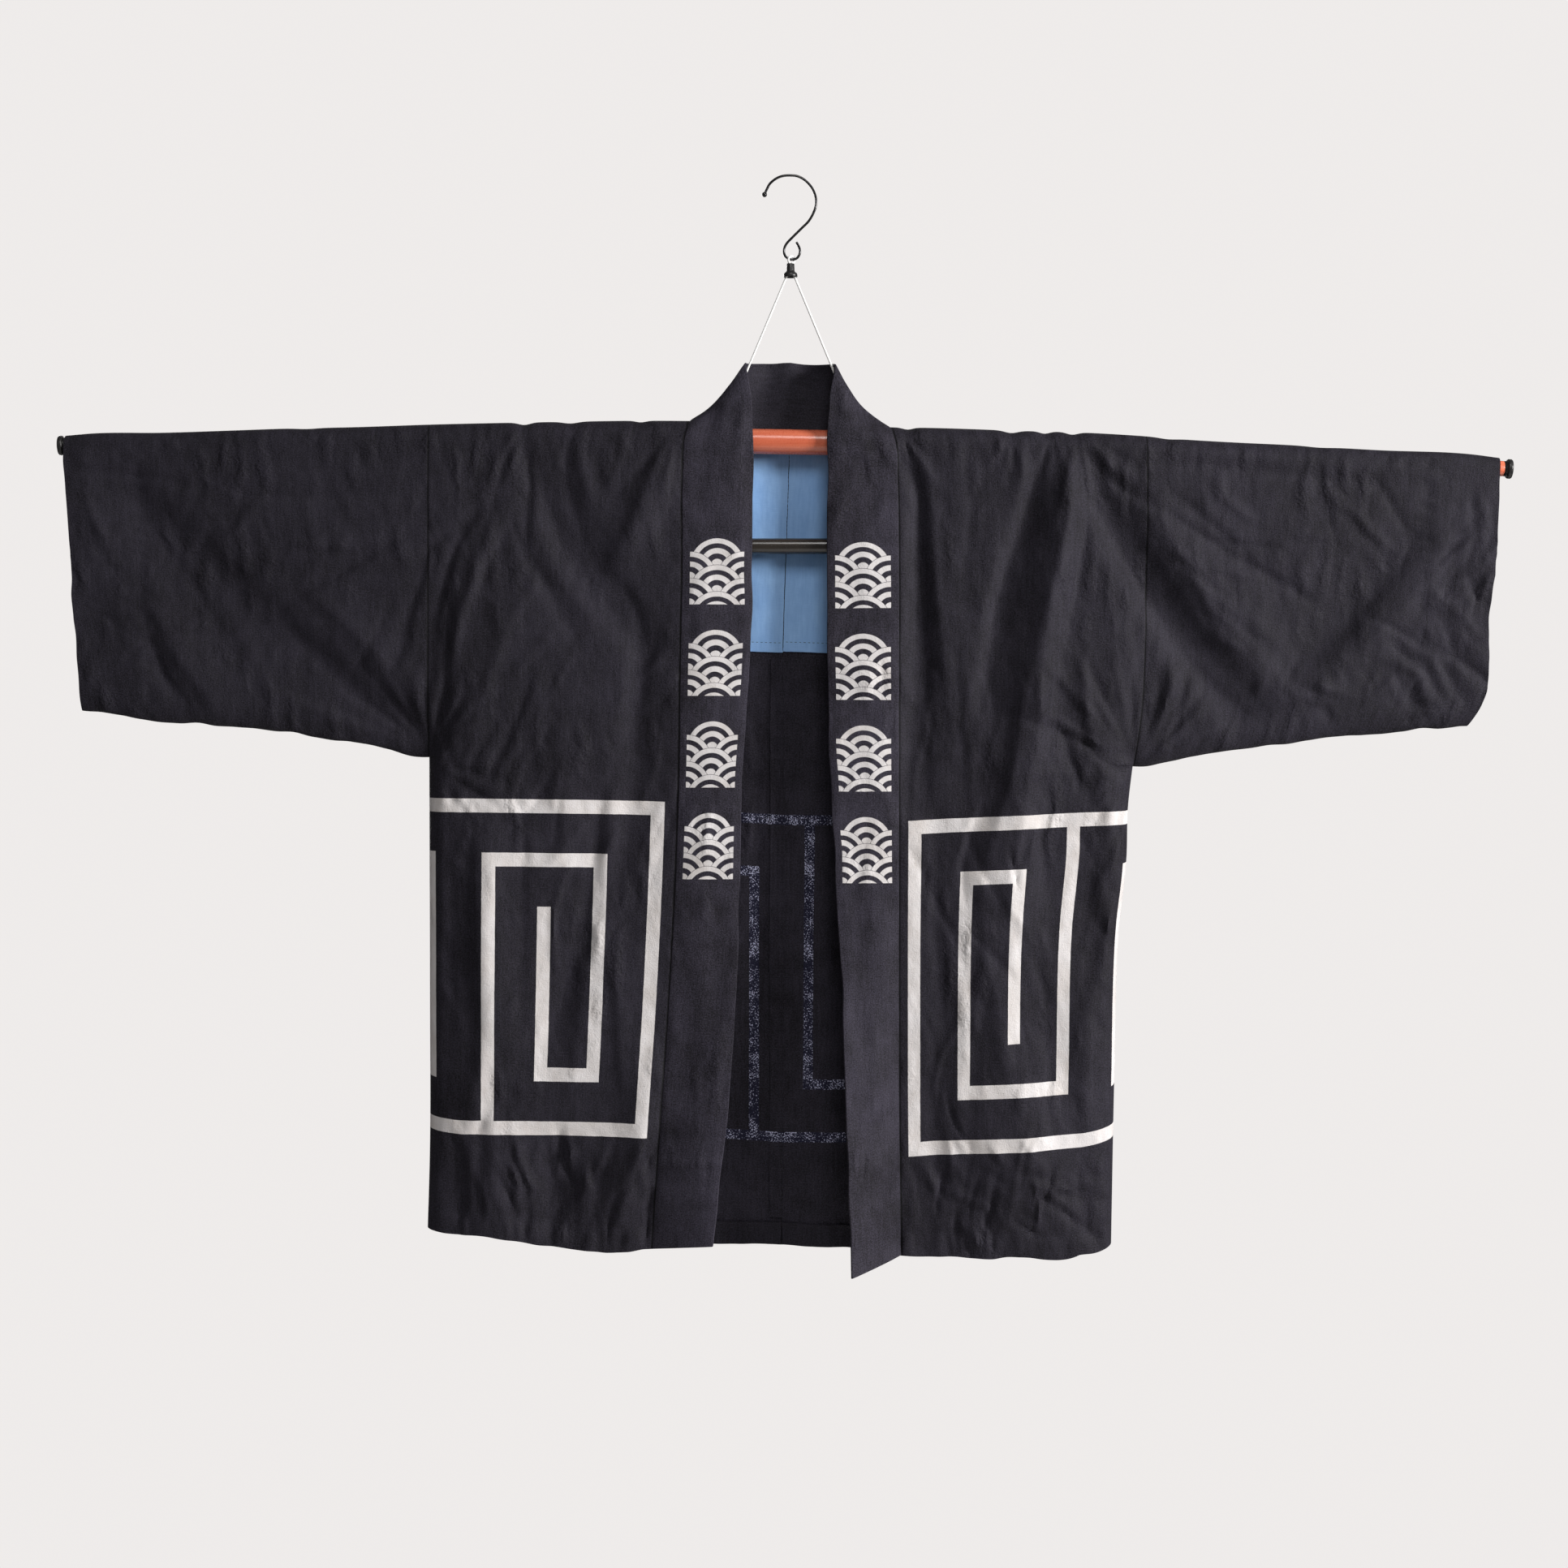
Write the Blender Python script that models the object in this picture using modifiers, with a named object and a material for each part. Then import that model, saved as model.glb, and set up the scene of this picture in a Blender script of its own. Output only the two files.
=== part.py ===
"""Happi coat hung on a telescopic kimono hanger.

Metres, +Z up, the coat's front towards -Y. The origin is the inside top of the hook's crook, where the
hanger is hung up. Every piece of cloth is a flat grid laid over the rod by drape formulas, then given its
wall inwards, so the grid is the outer face of the cloth.
"""

import math

import bmesh
import bpy
import numpy as np

# Cloth and seams
WALL = 0.0012  # the black cotton
BAND_WALL = 0.0024  # the collar, cotton doubled over
LINING_WALL = 0.0010
SEAM = 0.0003  # between pieces that are sewn to each other
PROUD = 0.0007  # the collar stands out this far from the fronts
COLLAR_START = 0.00065  # from the neckline to the collar's sewn edge
COLLAR_PUFF = 0.0015  # the band's roundness across its width
COLLAR_SAG = {-1: 0.0062, 1: 0.0092}  # hollow of the band where it climbs from each shoulder
SAG_REACH = 0.030

# Hanger rod: one gentle bow, tilted a little
ROD_Z = -0.2360
ROD_TILT = -0.0165
ROD_DROOP = 0.033
TUBE_RADIUS = 0.01115
TUBE_HALF = 0.300
ARM_RADIUS = 0.0068
ARM_END = {-1: 0.6435, 1: 0.6340}
CAP_NECK = (0.0068, 0.0025)  # radius, length
CAP_FLANGE = (0.00865, 0.0047)

# Sash bar under the rod, and the posts that carry it
BAR_Z = -0.3287
BAR_RADIUS = 0.0070
BAR_HALF = 0.200
POST_X = 0.170
POST_RADIUS = 0.0018

# Hook, cord and bead
WIRE_RADIUS = 0.0011
BALL_RADIUS = 0.0023
CORD_RADIUS = 0.0010
CORD_ROD_X = 0.0600
BEAD_TOP = -0.0775
CORD_FOOT = 0.00045  # how far over the rod's gap the middle of the cord ends
#   radius, depth under the bead's top
BEAD_OUTSIDE = ((0.0034, 0.0), (0.0036, 0.0070), (0.0057, 0.0085), (0.0062, 0.0120))
BEAD_INSIDE = ((0.0052, 0.0120), (0.0044, 0.0085), (0.0027, 0.0068), (0.0027, 0.0))

# How the coat lies on the rod
WRAP_BODY = 0.0152  # radius of the cloth's outer face over the thick tube
WRAP_CUFF = 0.0085
ARMHOLE_DEPTH = 0.0115  # half depth of a sleeve at the armhole
CUFF_DEPTH = 0.0085
DEPTH = {-1: 0.0190, 1: 0.0175}  # half depth of the body, front and back
DEPTH_REACHED = 0.25  # drop at which the body has that depth
SIDE_ROUND = 0.030  # width of the rounded side
BOTTOM_ROUND = 0.022  # height of the rounded underside of a sleeve
UNDERARM_SHARE = 0.12  # part of a sleeve over which its underside leaves the armhole
FLAT_SHARE = 0.9  # part of the hem's table that the flat takes, the round side having the rest
FOLD_START = 0.012  # drop at which folds begin
FOLD_REACH = 0.045  # drop over which they grow to their full height
FOLD_EDGE = 0.009  # half depth under which they are calm
FOLD_ENDS = (0.08, 0.92)  # part of a half wave that a fold's height follows along its length
FOLD_TAPER = 0.7
ARMHOLE_DROP = {-1: 0.2953, 1: 0.2939}
CENTRE_BACK = -0.0068
NECK_STATION = 2 / 3  # how far over the rod the back neck seam lies, 1 being level with it

LEFT, RIGHT = -1, 1
FRONT, BACK = -1, 1

# Top line of the hanging coat, cuff to cuff
#     x        z
SHOULDER_LINE = (
    (-0.6440, -0.2309),
    (-0.6224, -0.2290),
    (-0.5576, -0.2282),
    (-0.4928, -0.2261),
    (-0.4496, -0.2246),
    (-0.3848, -0.2232),
    (-0.3200, -0.2210),
    (-0.2228, -0.2189),
    (-0.1292, -0.2176),
    (-0.0896, -0.2178),
    (0.0000, -0.2206),
    (0.0904, -0.2234),
    (0.1271, -0.2240),
    (0.2056, -0.2266),
    (0.2567, -0.2280),
    (0.3157, -0.2314),
    (0.3496, -0.2342),
    (0.3928, -0.2368),
    (0.4360, -0.2388),
    (0.5224, -0.2437),
    (0.6088, -0.2478),
    (0.6297, -0.2506),
)

# Front edge of each half, where the collar is sewn, and the collar's free edge against it
#   drop, seam x, free x, free edge above the seam, free edge forward of the front
COLLAR_FRONT = {
    LEFT: (
        (0.0000, -0.0893, -0.0400, 0.0518, 0.002),
        (0.0020, -0.0897, -0.0364, 0.0350, 0.000),
        (0.0076, -0.0905, -0.0340, 0.0207, 0.000),
        (0.0152, -0.0925, -0.0330, 0.0126, 0.001),
        (0.0460, -0.0943, -0.0330, 0.0040, 0.000),
        (0.1300, -0.0947, -0.0335, 0.0000, 0.000),
        (0.2024, -0.0960, -0.0349, 0.0000, 0.000),
        (0.3470, -0.0983, -0.0436, 0.0000, 0.001),
        (0.4350, -0.1019, -0.0455, 0.0000, 0.003),
        (0.5240, -0.1069, -0.0480, 0.0000, 0.006),
        (0.6056, -0.1127, -0.0545, 0.0000, 0.010),
        (0.7336, -0.1213, -0.0680, 0.0050, 0.020),
    ),
    RIGHT: (
        (0.0000, 0.0885, 0.0400, 0.0560, 0.002),
        (0.0020, 0.0890, 0.0362, 0.0415, 0.000),
        (0.0076, 0.0900, 0.0338, 0.0255, 0.000),
        (0.0152, 0.0920, 0.0325, 0.0156, 0.001),
        (0.0460, 0.0935, 0.0325, 0.0050, 0.000),
        (0.1300, 0.0947, 0.0322, 0.0000, 0.000),
        (0.2024, 0.0947, 0.0320, 0.0000, 0.000),
        (0.3470, 0.0947, 0.0366, 0.0000, 0.001),
        (0.4350, 0.0947, 0.0418, 0.0000, 0.006),
        (0.5240, 0.0948, 0.0465, 0.0000, 0.018),
        (0.6056, 0.0951, 0.0490, -0.0020, 0.028),
        (0.7323, 0.0968, 0.0529, -0.0140, 0.040),
    ),
}

# Free edge of the collar behind the neck; turn is the way round from the shoulder to the centre back
#   turn in degrees, share of the shoulder's x, y, z
COLLAR_NECK = (
    (0.0, 0.0400, -0.0020, -0.1666),
    (22.5, 0.0390, 0.0090, -0.1648),
    (45.0, 0.0330, 0.0190, -0.1638),
    (67.5, 0.0180, 0.0255, -0.1631),
    (90.0, 0.0000, 0.0268, -0.1628),
)

# Side seam of each half, from the armhole to the hem
#   drop, x
SIDE_LINE = {
    LEFT: ((0.0, -0.3205), (0.29, -0.3212), (0.50, -0.3206), (0.65, -0.3208), (0.72, -0.3228)),
    RIGHT: (
        (0.0, 0.3157),
        (0.177, 0.3143),
        (0.247, 0.3107),
        (0.294, 0.3042),
        (0.331, 0.3000),
        (0.374, 0.2988),
        (0.439, 0.2920),
        (0.568, 0.2880),
        (0.720, 0.2850),
    ),
}

# Length of each half from the top line to the hem
#   place from the inner edge (0) to the side (1), front, back
HEM = {
    LEFT: (
        (0.0, 0.7336, 0.7320),
        (0.3, 0.7345, 0.7325),
        (0.6, 0.7265, 0.7260),
        (0.8, 0.7195, 0.7195),
        (0.9, 0.7185, 0.7185),
        (1.0, 0.7120, 0.7120),
    ),
    RIGHT: (
        (0.0, 0.7323, 0.7320),
        (0.3, 0.7330, 0.7325),
        (0.6, 0.7315, 0.7310),
        (0.9, 0.7285, 0.7280),
        (1.0, 0.7175, 0.7175),
    ),
}

# Underside of each sleeve
#   x, z
SLEEVE_UNDERSIDE = {
    LEFT: (
        (-0.6297, -0.4750),
        (-0.5576, -0.4845),
        (-0.4928, -0.4892),
        (-0.4064, -0.5003),
        (-0.3205, -0.5163),
    ),
    RIGHT: (
        (0.3040, -0.5256),
        (0.3496, -0.5168),
        (0.4144, -0.5076),
        (0.5224, -0.4950),
        (0.5950, -0.4887),
    ),
}

# Cuff edge of each sleeve
#   share of the drop, x
CUFF = {
    LEFT: ((0.0, -0.6440), (0.08, -0.6447), (0.30, -0.6412), (0.63, -0.6362), (1.0, -0.6297)),
    RIGHT: (
        (0.0, 0.6297),
        (0.20, 0.6278),
        (0.42, 0.6246),
        (0.53, 0.6212),
        (0.77, 0.6184),
        (0.89, 0.6168),
        (0.95, 0.6105),
        (1.0, 0.6015),
    ),
}

# Largest folds: soft ridges (height over 0) and troughs, each along a curve with three points
#   from x, z, by x, z, to x, z, height, half width
FOLDS = {
    FRONT: (
        (-0.590, -0.270, -0.485, -0.398, -0.326, -0.509, -0.0045, 0.024),
        (-0.226, -0.243, -0.200, -0.356, -0.126, -0.420, -0.0045, 0.016),
        (-0.100, -0.226, -0.120, -0.290, -0.159, -0.347, 0.0035, 0.015),
        (-0.129, -0.405, -0.134, -0.550, -0.155, -0.662, -0.0045, 0.016),
        (-0.172, -0.558, -0.182, -0.662, -0.208, -0.783, -0.0045, 0.015),
        (-0.265, -0.580, -0.268, -0.700, -0.266, -0.828, 0.0045, 0.015),
        (-0.124, -0.780, -0.135, -0.860, -0.150, -0.945, 0.0040, 0.016),
        (0.110, -0.236, 0.116, -0.400, 0.110, -0.557, -0.0060, 0.014),
        (0.257, -0.239, 0.214, -0.446, 0.184, -0.783, 0.0075, 0.020),
        (0.216, -0.270, 0.200, -0.330, 0.176, -0.468, -0.0040, 0.014),
        (0.258, -0.581, 0.262, -0.650, 0.258, -0.716, -0.0045, 0.015),
        (0.262, -0.250, 0.314, -0.378, 0.396, -0.473, -0.0055, 0.015),
        (0.549, -0.324, 0.490, -0.400, 0.440, -0.432, -0.0045, 0.018),
        (0.320, -0.300, 0.390, -0.400, 0.430, -0.455, 0.0035, 0.016),
    ),
    BACK: (
        (-0.560, -0.262, -0.470, -0.390, -0.335, -0.500, -0.0045, 0.022),
        (-0.210, -0.246, -0.180, -0.420, -0.150, -0.640, -0.0045, 0.018),
        (-0.255, -0.300, -0.262, -0.560, -0.250, -0.840, 0.0045, 0.018),
        (-0.070, -0.330, -0.080, -0.600, -0.062, -0.930, 0.0040, 0.020),
        (0.080, -0.300, 0.072, -0.560, 0.090, -0.900, 0.0045, 0.020),
        (0.235, -0.250, 0.205, -0.480, 0.190, -0.800, 0.0055, 0.020),
        (0.160, -0.270, 0.150, -0.460, 0.140, -0.700, -0.0045, 0.018),
        (0.270, -0.270, 0.330, -0.390, 0.420, -0.470, -0.0050, 0.018),
    ),
}

# Stations down the cloth: 0 on the rod, 1 level with it, 2 where a sleeve begins to round off below,
# 3 at the underarm, 4 at the hem
NECK_TURNS = (0.0, 22.5, 45.0, 67.5, 90.0)
OVER_ROD = (1 / 3, 2 / 3, 1.0)
DOWN_ARMHOLE = (1.12, 1.24, 1.36, 1.48, 1.60, 1.725, 1.86, 2.0)
ROUND_UNDER = (2.35, 2.7, 3.0)
LINING_END = 1.725
ROWS_TO_HEM = 12
FLAT_COLUMNS = 11
ROUND_COLUMNS = 5
SLEEVE_COLUMNS = 11
BAND_COLUMNS = 3


# ---------------------------------------------------------------- formulas
def read(table, at, column=1):
    """A column of a table at `at`, as a smooth curve through its rows."""
    rows = np.asarray(table, float)
    x, y = rows[:, 0], rows[:, column]
    slope = np.gradient(y, x)
    i = np.clip(np.searchsorted(x, at) - 1, 0, len(x) - 2)
    step = x[i + 1] - x[i]
    t = np.clip((at - x[i]) / step, 0, 1)
    start = y[i] * (1 + 2 * t) + slope[i] * step * t
    end = y[i + 1] * (3 - 2 * t) + slope[i + 1] * step * (t - 1)
    return start * (1 - t) ** 2 + end * t**2


def ease(t):
    t = np.clip(t, 0, 1)
    return t * t * (3 - 2 * t)


def mix(a, b, t):
    return a + (b - a) * t


def rod_z(x):
    return ROD_Z + ROD_TILT * x - ROD_DROOP * x * x


def fold(face, x, z):
    """How far the folds push the cloth outwards at x, z."""
    out = np.zeros(np.broadcast(x, z).shape)
    for x0, z0, x1, z1, x2, z2, height, width in FOLDS[face]:
        t = np.linspace(0, 1, 13)
        px = (1 - t) ** 2 * x0 + 2 * t * (1 - t) * x1 + t * t * x2
        pz = (1 - t) ** 2 * z0 + 2 * t * (1 - t) * z1 + t * t * z2
        nearest = np.full(out.shape, np.inf)
        place = np.zeros(out.shape)
        for i in range(len(t) - 1):
            dx, dz = px[i + 1] - px[i], pz[i + 1] - pz[i]
            s = np.clip(((x - px[i]) * dx + (z - pz[i]) * dz) / (dx * dx + dz * dz), 0, 1)
            gap = np.hypot(x - px[i] - s * dx, z - pz[i] - s * dz)
            place = np.where(gap < nearest, (i + s) / (len(t) - 1), place)
            nearest = np.minimum(nearest, gap)
        taper = np.sin(np.pi * mix(*FOLD_ENDS, place)) ** FOLD_TAPER
        out += height * taper * np.exp(-((nearest / width) ** 2))
    return out


def hang(s, wrap, bottom, depth):
    """Drop and half depth at station s (0 to 3) of cloth hung over a rod and closed at `bottom`."""
    over = np.clip(s, 0, 1) * math.pi / 2
    down = np.clip(s - 1, 0, 1)
    under = np.clip(s - 2, 0, 1) * math.pi / 2
    drop = wrap * (1 - np.cos(over)) + down * (bottom - BOTTOM_ROUND - wrap) + BOTTOM_ROUND * np.sin(under)
    out = np.where(s < 1, wrap * np.sin(over), mix(wrap, depth, ease(down)) * np.cos(under))
    return drop, out


def put_folds(face, x, z, drop, out):
    """The point at x, z with the folds worked in, and calm where the cloth turns over an edge."""
    calm = ease((drop - FOLD_START) / FOLD_REACH) * ease(out / FOLD_EDGE)
    return np.stack([x, face * (out + calm * fold(face, x, z)), z], axis=-1)


def body_point(side, face, c, s):
    """A point of a body half. c runs 0 to 1 over the flat and on to 2 round the side."""
    armhole_drop, edge_out = hang(np.clip(s, 0, 3), WRAP_BODY, ARMHOLE_DROP[side], ARMHOLE_DEPTH)
    share = FLAT_SHARE * np.clip(c, 0, 1) + (1 - FLAT_SHARE) * np.clip(c - 1, 0, 1)
    length = read(HEM[side], share, 1 if face == FRONT else 2)
    drop = np.where(s > 3, mix(ARMHOLE_DROP[side], length, np.clip(s - 3, 0, 1)), armhole_drop)
    side_x = read(SIDE_LINE[side], drop)
    if face == FRONT:
        inner_x = read(COLLAR_FRONT[side], drop)
    else:
        turn = np.arcsin(np.clip(s / NECK_STATION, 0, 1))
        centre = CENTRE_BACK + side * SEAM / 2
        inner_x = mix(centre, COLLAR_FRONT[side][0][1], np.cos(turn))
    flat = mix(inner_x, side_x - side * SIDE_ROUND, np.clip(c, 0, 1))
    v = np.clip(c - 1, 0, 1)
    closed = ease(s - 2)
    round_x = mix(v, np.sin(v * math.pi / 2), closed)
    x = flat + side * SIDE_ROUND * round_x
    full = np.where(s < 1, edge_out, mix(WRAP_BODY, DEPTH[face], ease((drop - WRAP_BODY) / DEPTH_REACHED)))
    fall = mix(1 - ease(v), np.cos(v * math.pi / 2), closed)
    out = mix(edge_out, full, fall)
    z = read(SHOULDER_LINE, x) - drop
    return put_folds(face, x, z, drop, out)


def sleeve_point(side, face, a, s):
    """A point of a sleeve. a runs 0 at the armhole to 1 at the cuff."""
    drop, _ = hang(s, WRAP_BODY, ARMHOLE_DROP[side], ARMHOLE_DEPTH)
    arm_x = read(SIDE_LINE[side], drop) + side * SEAM
    x = mix(arm_x, read(CUFF[side], drop / ARMHOLE_DROP[side]), a)
    top = read(SHOULDER_LINE, x)
    bottom = top - read(SLEEVE_UNDERSIDE[side], x)
    bottom = mix(ARMHOLE_DROP[side], bottom, ease(a / UNDERARM_SHARE))
    drop, out = hang(s, mix(WRAP_BODY, WRAP_CUFF, a), bottom, mix(ARMHOLE_DEPTH, CUFF_DEPTH, a))
    return put_folds(face, x, top - drop, drop, out)


def signed_rows(front, back):
    """Stations from the lowest front row over the rod to the lowest back row, front ones negative."""
    return np.array([-s for s in reversed(front)] + [0.0] + list(back))


def both_faces(point, side, column, row):
    """A panel that runs over the rod: front where the station is negative, back where it is positive."""
    front = point(side, FRONT, column, np.abs(row))
    back = point(side, BACK, column, np.abs(row))
    return np.where((row < 0)[..., None], front, back)


def body_rows():
    below = tuple(3 + (i + 1) / ROWS_TO_HEM for i in range(ROWS_TO_HEM))
    neck = tuple(NECK_STATION * math.sin(math.radians(turn)) for turn in NECK_TURNS[1:])
    front = OVER_ROD + DOWN_ARMHOLE + ROUND_UNDER + below
    back = neck + (1.0,) + DOWN_ARMHOLE + ROUND_UNDER + below
    return signed_rows(front, back)


# ---------------------------------------------------------------- tools
def clear_scene():
    for ob in list(bpy.data.objects):
        bpy.data.objects.remove(ob, do_unlink=True)


def paint(name, colour, roughness, metallic=0.0):
    material = bpy.data.materials.new(name)
    material.use_nodes = True
    shader = material.node_tree.nodes["Principled BSDF"]
    shader.inputs["Base Color"].default_value = (*colour, 1)
    shader.inputs["Roughness"].default_value = roughness
    shader.inputs["Metallic"].default_value = metallic
    return material


def add(name, data, material):
    ob = bpy.data.objects.new(name, data)
    data.materials.append(material)
    PARTS.objects.link(ob)
    return ob


def panel(name, columns, rows, place, wall, material, flip=False, inset=0.0):
    """A flat grid of columns by rows, laid where place(column, row) says and given its wall inwards."""
    bm = bmesh.new()
    across, along = len(columns) - 1, len(rows) - 1
    bmesh.ops.create_grid(bm, x_segments=across, y_segments=along, size=1)
    bm.verts.ensure_lookup_table()
    i = np.array([round((v.co.x + 1) / 2 * across) for v in bm.verts])
    j = np.array([round((v.co.y + 1) / 2 * along) for v in bm.verts])
    for vertex, point in zip(bm.verts, place(np.asarray(columns)[i], np.asarray(rows)[j])):
        vertex.co = point
    bmesh.ops.remove_doubles(bm, verts=bm.verts, dist=0.00001)
    if flip:
        bmesh.ops.reverse_faces(bm, faces=bm.faces)
    bm.normal_update()
    if inset:
        moved = [v.co - v.normal * inset for v in bm.verts]
        for vertex, point in zip(bm.verts, moved):
            vertex.co = point
    mesh = bpy.data.meshes.new(name)
    bm.to_mesh(mesh)
    bm.free()
    mesh.shade_smooth()
    ob = add(name, mesh, material)
    shell = ob.modifiers.new("wall", "SOLIDIFY")
    shell.thickness = wall
    shell.offset = -1
    return ob


def smooth_path(points, per_span):
    """Points read from a smooth curve through the route's own points."""
    route = np.asarray(points, float)
    route = np.vstack([2 * route[0] - route[1], route, 2 * route[-1] - route[-2]])
    out = []
    for a, b, c, d in zip(route, route[1:], route[2:], route[3:]):
        for t in np.arange(per_span) / per_span:
            cubic = (d - a + 3 * (b - c)) * t**3 + (2 * a - 5 * b + 4 * c - d) * t**2
            out.append(b + (cubic + (c - a) * t) / 2)
    out.append(route[-2])
    return out


def tube(name, points, radius, material, sides=2, swell=None):
    """A round bar along points; swell gives each point's share of the radius."""
    curve = bpy.data.curves.new(name, "CURVE")
    curve.dimensions = "3D"
    curve.bevel_depth = radius
    curve.bevel_resolution = sides
    curve.use_fill_caps = True
    spline = curve.splines.new("POLY")
    spline.points.add(len(points) - 1)
    for i, point in enumerate(points):
        spline.points[i].co = (*point, 1)
        spline.points[i].radius = swell[i] if swell else 1
    return add(name, curve, material)


def turned(name, profile, material, steps=24):
    """A profile of (radius, height) rows, down its outer side and closed on itself, turned round Z."""
    bm = bmesh.new()
    ring = [bm.verts.new((radius, 0, height)) for radius, height in profile]
    joins = list(zip(ring, ring[1:] + ring[:1]))
    on_axis = profile[0][0] == 0 and profile[-1][0] == 0
    for a, b in joins[:-1] if on_axis else joins:
        bm.edges.new((a, b))
    mesh = bpy.data.meshes.new(name)
    bm.to_mesh(mesh)
    bm.free()
    ob = add(name, mesh, material)
    screw = ob.modifiers.new("turned", "SCREW")
    screw.steps = screw.render_steps = steps
    screw.use_merge_vertices = True
    screw.merge_threshold = 0.00001
    return ob


# ---------------------------------------------------------------- coat
def make_bodies(cotton):
    columns = [i / FLAT_COLUMNS for i in range(FLAT_COLUMNS + 1)]
    columns += [1 + (i + 1) / ROUND_COLUMNS for i in range(ROUND_COLUMNS)]
    for side, name in ((LEFT, "body_left"), (RIGHT, "body_right")):
        panel(
            name,
            columns,
            body_rows(),
            lambda c, s, side=side: both_faces(body_point, side, c, s),
            WALL,
            cotton,
            flip=side == LEFT,
        )


def make_sleeves(cotton):
    columns = [i / SLEEVE_COLUMNS for i in range(SLEEVE_COLUMNS + 1)]
    stations = OVER_ROD + DOWN_ARMHOLE + ROUND_UNDER
    neck = tuple(NECK_STATION * math.sin(math.radians(turn)) for turn in NECK_TURNS[1:])
    rows = signed_rows(stations, neck + (1.0,) + DOWN_ARMHOLE + ROUND_UNDER)
    for side, name in ((LEFT, "sleeve_left"), (RIGHT, "sleeve_right")):
        panel(
            name,
            columns,
            rows,
            lambda a, s, side=side: both_faces(sleeve_point, side, a, s),
            WALL,
            cotton,
            flip=side == LEFT,
        )


def collar_ribs():
    """Pairs of points, on the neckline and on the free edge, from the left hem round to the right hem."""
    ribs = {LEFT: [], RIGHT: []}
    for side in (LEFT, RIGHT):
        rows = body_rows()
        for row in rows[rows < 0]:
            sewn = body_point(side, FRONT, np.array(0.0), np.array(-row))
            drop = read(SHOULDER_LINE, sewn[0]) - sewn[2]
            free_x, lift, forward = (read(COLLAR_FRONT[side], drop, column) for column in (2, 3, 4))
            ribs[side].append((sewn, np.array([free_x, sewn[1] - forward, sewn[2] + lift])))
        for turn in NECK_TURNS:
            s = NECK_STATION * math.sin(math.radians(turn))
            sewn = body_point(side, BACK, np.array(0.0), np.array(s))
            free_x, free_y, free_z = (read(COLLAR_NECK, turn, column) for column in (1, 2, 3))
            centre = CENTRE_BACK * ease(turn / 90)
            ribs[side].append((sewn, np.array([centre + side * free_x, free_y, free_z])))
    centre_rib = tuple((a + b) / 2 for a, b in zip(ribs[LEFT][-1], ribs[RIGHT][-1]))
    return ribs[LEFT][:-1] + [centre_rib] + ribs[RIGHT][-2::-1]


def make_collar(cotton):
    ribs = collar_ribs()
    sewn = np.array([rib[0] for rib in ribs])
    free = np.array([rib[1] for rib in ribs])
    middle = (sewn + free) / 2
    travel = np.gradient(middle, axis=0)
    width = free - sewn
    width /= np.linalg.norm(width, axis=1)[:, None]
    outward = np.cross(width, travel)
    outward /= np.linalg.norm(outward, axis=1)[:, None]

    gone = np.concatenate([[0], np.cumsum(np.linalg.norm(np.diff(middle, axis=0), axis=1))])
    front_rows = int((body_rows() < 0).sum())
    sag = np.zeros(middle.shape)
    for side, shoulder in ((LEFT, front_rows), (RIGHT, len(ribs) - 1 - front_rows)):
        near = np.exp(-(((gone - gone[shoulder]) / SAG_REACH) ** 2))
        inwards = np.array([width[shoulder][2], 0, -width[shoulder][0]]) * -side
        sag += COLLAR_SAG[side] * near[:, None] * inwards

    def place(t, rib):
        rib = rib.astype(int)
        t = t[:, None]
        start = sewn[rib] + width[rib] * COLLAR_START
        round_over = 4 * t * (1 - t)
        puff = PROUD + COLLAR_PUFF * round_over
        return mix(start, free[rib], t) + outward[rib] * puff + sag[rib] * round_over

    columns = [i / BAND_COLUMNS for i in range(BAND_COLUMNS + 1)]
    panel("collar", columns, np.arange(len(ribs), dtype=float), place, BAND_WALL, cotton)


def make_lining(blue):
    rows = [NECK_STATION, 1.0] + [s for s in DOWN_ARMHOLE if s <= LINING_END]
    columns = [i / FLAT_COLUMNS for i in range(FLAT_COLUMNS + 1)]
    for side, name in ((LEFT, "lining_left"), (RIGHT, "lining_right")):
        panel(
            name,
            columns,
            rows,
            lambda c, s, side=side: body_point(side, BACK, c, s),
            LINING_WALL,
            blue,
            flip=side == LEFT,
            inset=WALL + SEAM,
        )


# ---------------------------------------------------------------- hanger
def rod_path(start, end, count):
    return [(x, 0.0, rod_z(x)) for x in np.linspace(start, end, count)]


def make_rod(lacquer, black):
    tube("rod_centre", rod_path(-TUBE_HALF, TUBE_HALF, 9), TUBE_RADIUS, lacquer, sides=6)
    neck_radius, neck_length = CAP_NECK
    flange_radius, flange_length = CAP_FLANGE
    for side, name in ((LEFT, "left"), (RIGHT, "right")):
        path = rod_path(side * (TUBE_HALF + SEAM), side * ARM_END[side], 6)
        tube("rod_" + name, path, ARM_RADIUS, lacquer, sides=4)
        length = neck_length + flange_length
        profile = [(0, length), (flange_radius, length), (flange_radius, neck_length)]
        profile += [(neck_radius, neck_length), (neck_radius, 0), (0, 0)]
        cap = turned("cap_" + name, profile, black)
        x = side * (ARM_END[side] + SEAM)
        cap.location = (x, 0, rod_z(x))
        slope = ROD_TILT - 2 * ROD_DROOP * x
        cap.rotation_euler = (0, side * math.pi / 2 - math.atan(slope), 0)


def make_bar(black):
    tube("sash_bar", [(x, 0, BAR_Z) for x in np.linspace(-BAR_HALF, BAR_HALF, 5)], BAR_RADIUS, black, sides=4)
    for side, name in ((LEFT, "left"), (RIGHT, "right")):
        x = side * POST_X
        top = rod_z(x) - TUBE_RADIUS - SEAM
        foot = BAR_Z + BAR_RADIUS + SEAM
        tube("post_" + name, [(x, 0, foot), (x, 0, top)], POST_RADIUS, black)


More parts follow.
